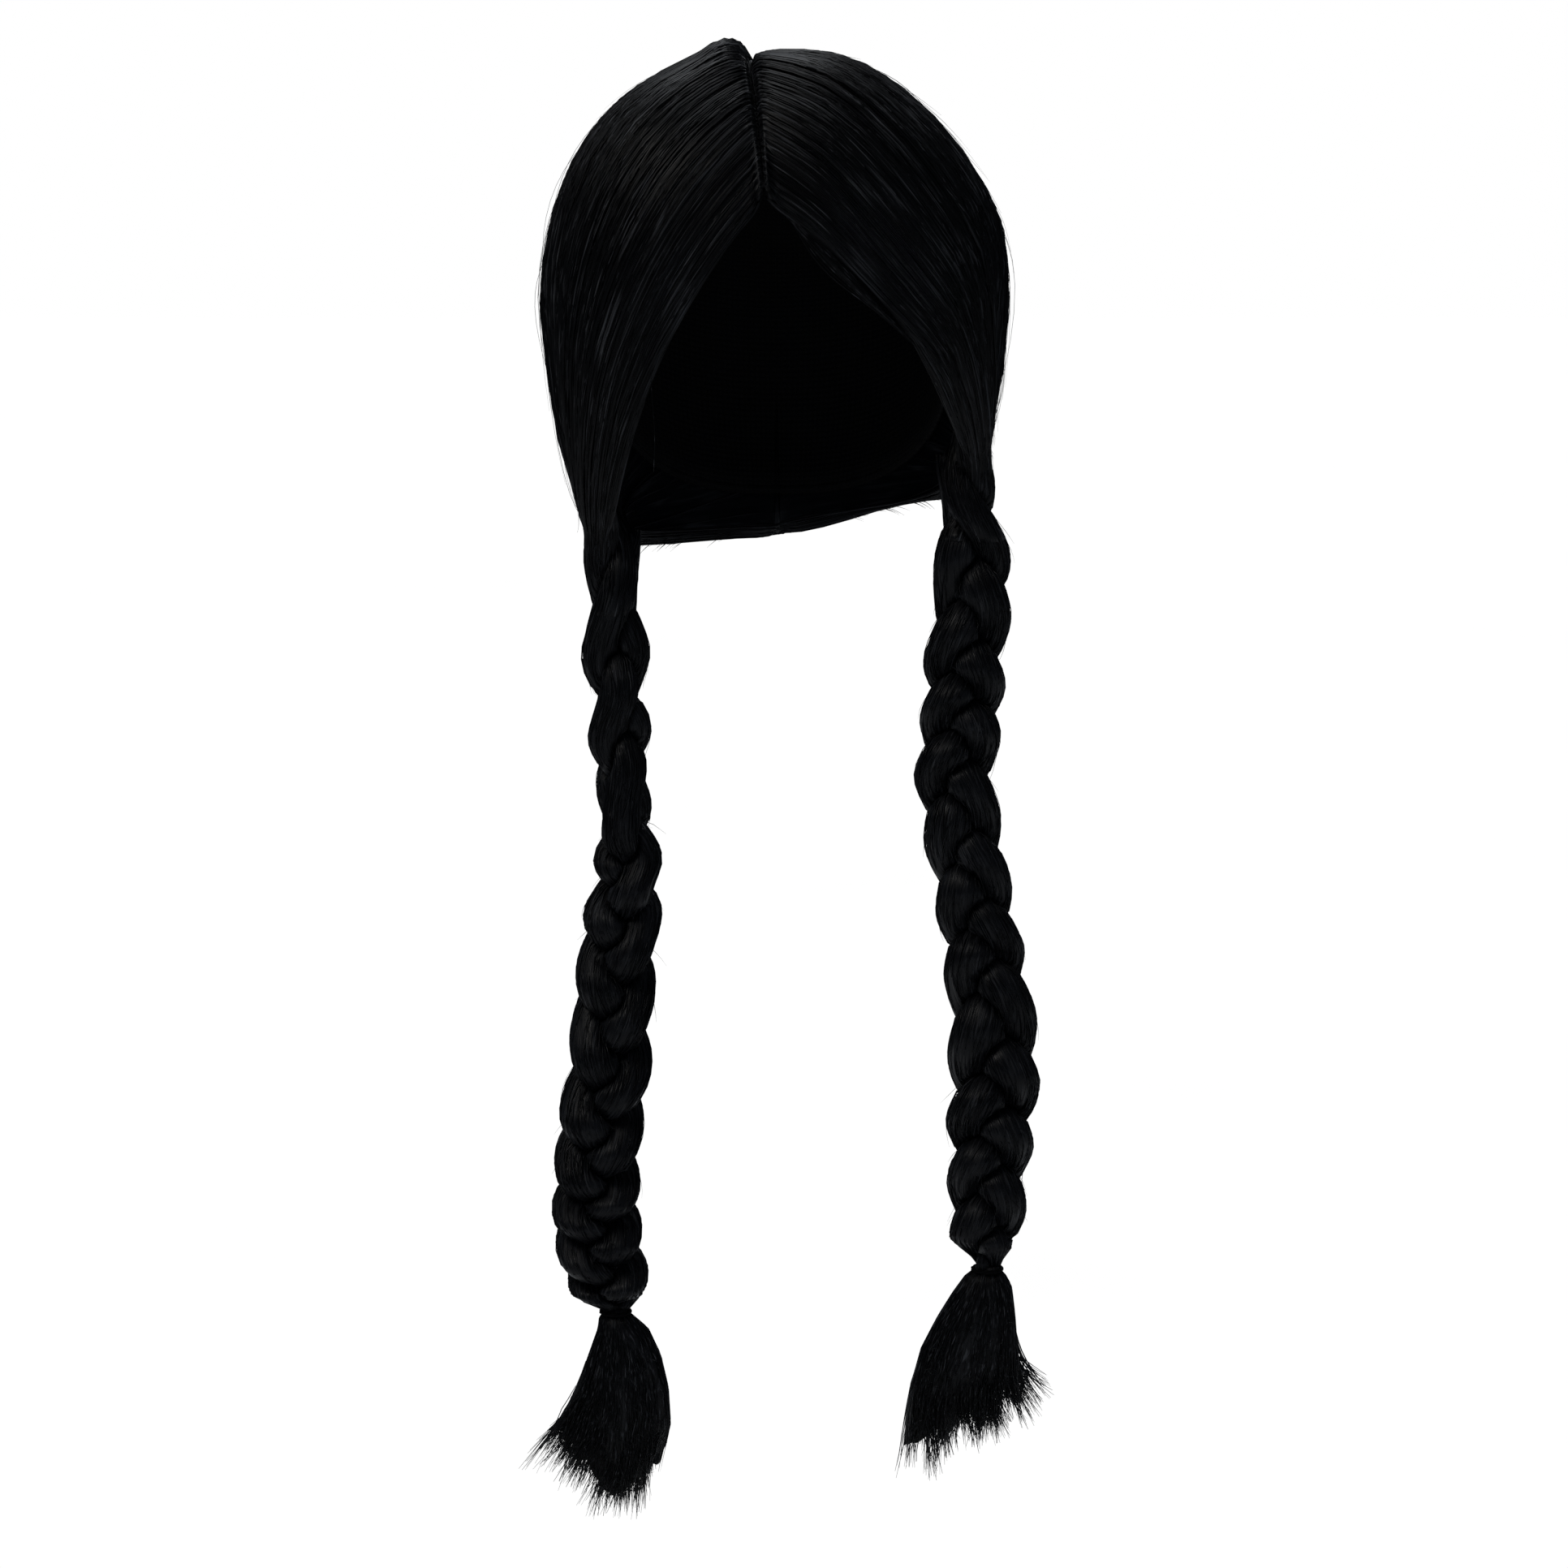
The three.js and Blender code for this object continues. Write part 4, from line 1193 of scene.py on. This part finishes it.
elasticBlack = makeTieFinish()


def makeTie(side):
    foot = braidAt(plaits[side], np.ones(1))["middle"][0]
    middle = foot - np.array((0, 0, braid["wire"] + braid["sewnGap"]))
    body = Body()
    for coil in range(tieLook["turns"]):
        turn = np.linspace(0, 2 * np.pi, tieLook["around"], endpoint=False)
        twist = 3 * turn + coil / tieLook["turns"] * 2 * np.pi
        radius = braid["neck"] + tieLook["out"] + tieLook["twist"] * np.cos(twist)
        line = np.stack((radius * np.cos(turn), radius * np.sin(turn), tieLook["twist"] * np.sin(twist)), -1)
        outward = np.stack((np.cos(turn), np.sin(turn), np.zeros_like(turn)), -1)
        angles = evenTurns(tieLook["section"])
        rib = tieLook["strand"] * (1 + 0.06 * np.cos(tieLook["ribs"] * turn))[:, None, None]
        cosine, sine = np.cos(angles)[None, :, None], np.sin(angles)[None, :, None]
        rings = line[:, None] + rib * (cosine * outward[:, None] + sine * np.array((0, 0, 1.0)))
        body.loop(rings + middle, np.meshgrid(angles / (2 * np.pi), turn / (2 * np.pi)))
    return body.make("hairTie" + side.capitalize(), elasticBlack, "elastic", "hair_tie_" + side)


for side in sides:
    makeTie(side)
print("ties made")


# the cap

capLook = {
    "edgeFront": 55,
    "edgeSide": 98,
    "edgeBack": 128,
    "around": 96,
    "down": 24,
    "bandRadius": 0.0011,
    "netColour": (0.0006, 0.0006, 0.0007, 1),
    "threadColour": (0.0022, 0.0022, 0.0025, 1),
}


def capPoint(shell, around, share):
    slope = (capLook["edgeBack"] - capLook["edgeFront"]) / 2
    bend = (capLook["edgeBack"] + capLook["edgeFront"]) / 2 - capLook["edgeSide"]
    backward = np.sin(around)
    tilt = np.radians(capLook["edgeSide"] + slope * backward + bend * backward**2) * share
    way = np.stack((np.sin(tilt) * np.cos(around), np.sin(tilt) * backward, np.cos(tilt) + 0 * around), -1)
    return onLayer(way, shell)


def makeCapFinish():
    finish = Finish("netBlack")
    wave = {"wave_type": "BANDS", "bands_direction": "X", "wave_profile": "SIN"}
    warp = finish.node("ShaderNodeTexWave", wave, {"Vector": finish.flow(60, 0), "Scale": 1.0})
    weft = finish.node(
        "ShaderNodeTexWave", dict(wave, bands_direction="Y"), {"Vector": finish.flow(0, 34), "Scale": 1.0}
    )
    thread = finish.clear(warp + weft, 0.7, 1.5)
    colour = finish.colours(thread, capLook["netColour"], capLook["threadColour"])
    normal = finish.bump(thread, 0.6, 0.0004)
    return finish.feed(baseColour=colour, roughness=0.8 + 0.1 * thread, normal=normal, specular=0.06)


netBlack = makeCapFinish()


def makeCap():
    body = Body()
    around = evenTurns(capLook["around"])
    shares = np.linspace(0.02, 1, capLook["down"])
    outside = np.stack([capPoint(capLayer, around, share) for share in shares])
    inside = np.stack([capPoint(headLayer, around, share) for share in shares])[::-1]
    outCrown = capPoint(capLayer, around, 0.0).mean(0)
    inCrown = capPoint(headLayer, around, 0.0).mean(0)
    rings = np.concatenate((outside, inside))
    rings = np.concatenate((rings[:1] * 0 + outCrown, rings, rings[:1] * 0 + inCrown))
    rows = np.concatenate(((0,), shares, shares[::-1], (0,)))
    body.loft(rings, np.arange(capLook["around"]) / capLook["around"], rows)
    # the bound elastic edge
    rim = (capPoint(capLayer, around, 0.985) + capPoint(headLayer, around, 0.985)) / 2
    along = unit(np.roll(rim, -1, axis=0) - np.roll(rim, 1, axis=0))
    outward = unit(rim - headCentre)
    aside = unit(np.cross(along, outward))
    angles = evenTurns(10)
    pleats = capLook["bandRadius"] * (1 + 0.08 * np.cos(60 * around))[:, None, None]
    cosine, sine = np.cos(angles)[None, :, None], np.sin(angles)[None, :, None]
    rings = rim[:, None] + pleats * (0.8 * cosine * outward[:, None] + 2.2 * sine * aside[:, None])
    u, v = np.meshgrid(angles / (2 * np.pi), around / (2 * np.pi))
    body.loop(rings, (v, u))
    return body.make("wigCap", netBlack, "cap_net", "wig_cap")


makeCap()
print("cap made")


# the sewn parting

seamLook = {
    "start": 0.012,
    "endAngle": 122,
    "height": 0.0048,
    "width": 0.002,
    "stitches": 150,
    "dark": (0.001, 0.001, 0.0011, 1),
    "light": (0.005, 0.0046, 0.0048, 1),
}


def makeSeamFinish():
    finish = Finish("stripBlack")
    grain = finish.noise(finish.flow(30, 900))
    colour = finish.colours(grain, seamLook["dark"], seamLook["light"])
    return finish.feed(
        baseColour=colour, roughness=0.65 + 0.2 * grain, normal=finish.bump(grain, 0.5, 0.0002), specular=0.25
    )


stripBlack = makeSeamFinish()


def makeSeam():
    body = Body()
    end = (seamLook["endAngle"] + parting["frontAngle"]) / (parting["backAngle"] + parting["frontAngle"])
    along = np.linspace(seamLook["start"], end, 260)
    foot = onLayer(partingWay(along, capLayer), capLayer, np.full(260, braid["sewnGap"]))
    up = foot - headCentre
    up[:, 0] = 0
    up = unit(up)
    section = np.array(((-1, 0), (-1, 0.7), (-0.8, 0.93), (0, 1), (0.8, 0.93), (1, 0.7), (1, 0), (0, -0.02)))
    rings = (
        foot[:, None]
        + section[None, :, :1] * seamLook["width"] / 2 * np.array((1.0, 0, 0))
        + section[None, :, 1:] * seamLook["height"] * up[:, None]
    )
    body.loft(rings, np.linspace(0, 1, len(section)), along)
    # stitches over the top of the strip
    count = seamLook["stitches"]
    at = np.linspace(3, 256, count)
    place = np.stack([np.interp(at, np.arange(260), foot[:, i]) for i in range(3)], -1)
    rise = np.stack([np.interp(at, np.arange(260), up[:, i]) for i in range(3)], -1)
    forward = unit(np.gradient(place, axis=0))
    steps = np.linspace(-1, 1, 7)
    lean = steps[None, :, None] * 0.0005 * forward[:, None]
    paths = (
        place[:, None]
        + steps[None, :, None] * seamLook["width"] * 0.52 * np.array((1.0, 0, 0))
        + (seamLook["height"] * (1.03 - 0.25 * np.abs(steps) ** 4))[None, :, None] * rise[:, None]
        + lean
    )
    radii = np.full((count, 7), 0.00022)
    body.hairs(paths, radii, rise[:, None], np.linspace(0, 1, count), np.linspace(0, 1, 7))
    return body.make("partingSeam", stripBlack, "sewn_strip", "parting_seam")


makeSeam()
print("parting made")


# the studio

studio = {
    "lens": 105,
    "sensor": 36,
    "target": (0.003, 0.0, -0.302),
    "distance": 2.0,
    "elevation": 10,
    "floor": -0.98,
    "floorHalf": 12,
    "lights": (  # place, size, watts, colour
        ("key", (-1.1, -1.2, 1.55), 0.8, 26, (1, 0.97, 0.93)),
        ("fill", (1.5, -1.5, 0.5), 1.1, 1.6, (0.76, 0.85, 1)),
        ("low", (0.1, -1.6, -0.9), 1.0, 5, (0.76, 0.85, 1)),
        ("top", (-0.2, 0.3, 1.5), 0.8, 22, (0.92, 0.96, 1)),
        ("back", (0.6, 1.6, 0.7), 1.0, 10, (0.9, 0.95, 1)),
    ),
    "room": (0.76, 0.85, 1, 1),
    "roomStrength": 0.17,
}


def aimed(thing, place, target):
    thing.location = place
    thing.rotation_euler = (Vector(target) - Vector(place)).to_track_quat("-Z", "Y").to_euler()


def makeStudio():
    scene = bpy.context.scene
    scene.view_settings.view_transform = "Standard"
    camera = bpy.data.cameras.new("camera")
    camera.lens, camera.sensor_width = studio["lens"], studio["sensor"]
    camera.clip_start, camera.clip_end = 0.05, 100
    viewer = bpy.data.objects.new("camera", camera)
    bpy.context.collection.objects.link(viewer)
    tilt = math.radians(studio["elevation"])
    target = np.array(studio["target"])
    aimed(viewer, target + studio["distance"] * np.array((0, -math.cos(tilt), math.sin(tilt))), target)
    scene.camera = viewer
    for name, place, size, watts, colour in studio["lights"]:
        light = bpy.data.lights.new(name, "AREA")
        light.size, light.energy, light.color = size, watts, colour
        lamp = bpy.data.objects.new(name, light)
        bpy.context.collection.objects.link(lamp)
        aimed(lamp, place, (0, 0, -0.2))
    world = bpy.data.worlds.new("softRoom")
    scene.world = world
    world.use_nodes = True
    tree = Nodes(world.node_tree)
    room, output = (tree.tree.nodes[name] for name in ("Background", "World Output"))
    tree.put(room.inputs["Color"], studio["room"])
    tree.put(room.inputs["Strength"], studio["roomStrength"])
    seen = tree.node("ShaderNodeBackground", None, {"Color": (1, 1, 1, 1), "Strength": 1.0})
    both = {0: tree.node("ShaderNodeLightPath"), 1: Wire(tree, room.outputs[0]), 2: seen}
    tree.put(output.inputs["Surface"], tree.node("ShaderNodeMixShader", None, both))
    floorMesh = bpy.data.meshes.new("floor")
    half = studio["floorHalf"]
    corners = [(-half, -half, 0), (half, -half, 0), (half, half, 0), (-half, half, 0)]
    floorMesh.from_pydata([(x, y, studio["floor"]) for x, y, z in corners], [], [(0, 1, 2, 3)])
    floor = bpy.data.objects.new("floor", floorMesh)
    bpy.context.collection.objects.link(floor)
    paint = Finish("paleFloor")
    grain = paint.noise(paint.node("ShaderNodeTexCoord", None, None, "Object"), 2, 3)
    tone = paint.colours(grain, (0.86, 0.86, 0.86, 1), (0.9, 0.9, 0.9, 1))
    floorMesh.materials.append(paint.feed(baseColour=tone, roughness=0.9, specular=0.1))
    bright = paint.node("ShaderNodeEmission", None, {"Color": tone, "Strength": 1.15})
    seenFloor = paint.node("ShaderNodeLightPath")
    shader = Wire(paint, paint.shader.outputs[0])
    blended = paint.node("ShaderNodeMixShader", None, {0: seenFloor, 1: shader, 2: bright})
    paint.put(paint.tree.nodes["Material Output"].inputs["Surface"], blended)


makeStudio()
print("studio made")

print("done")
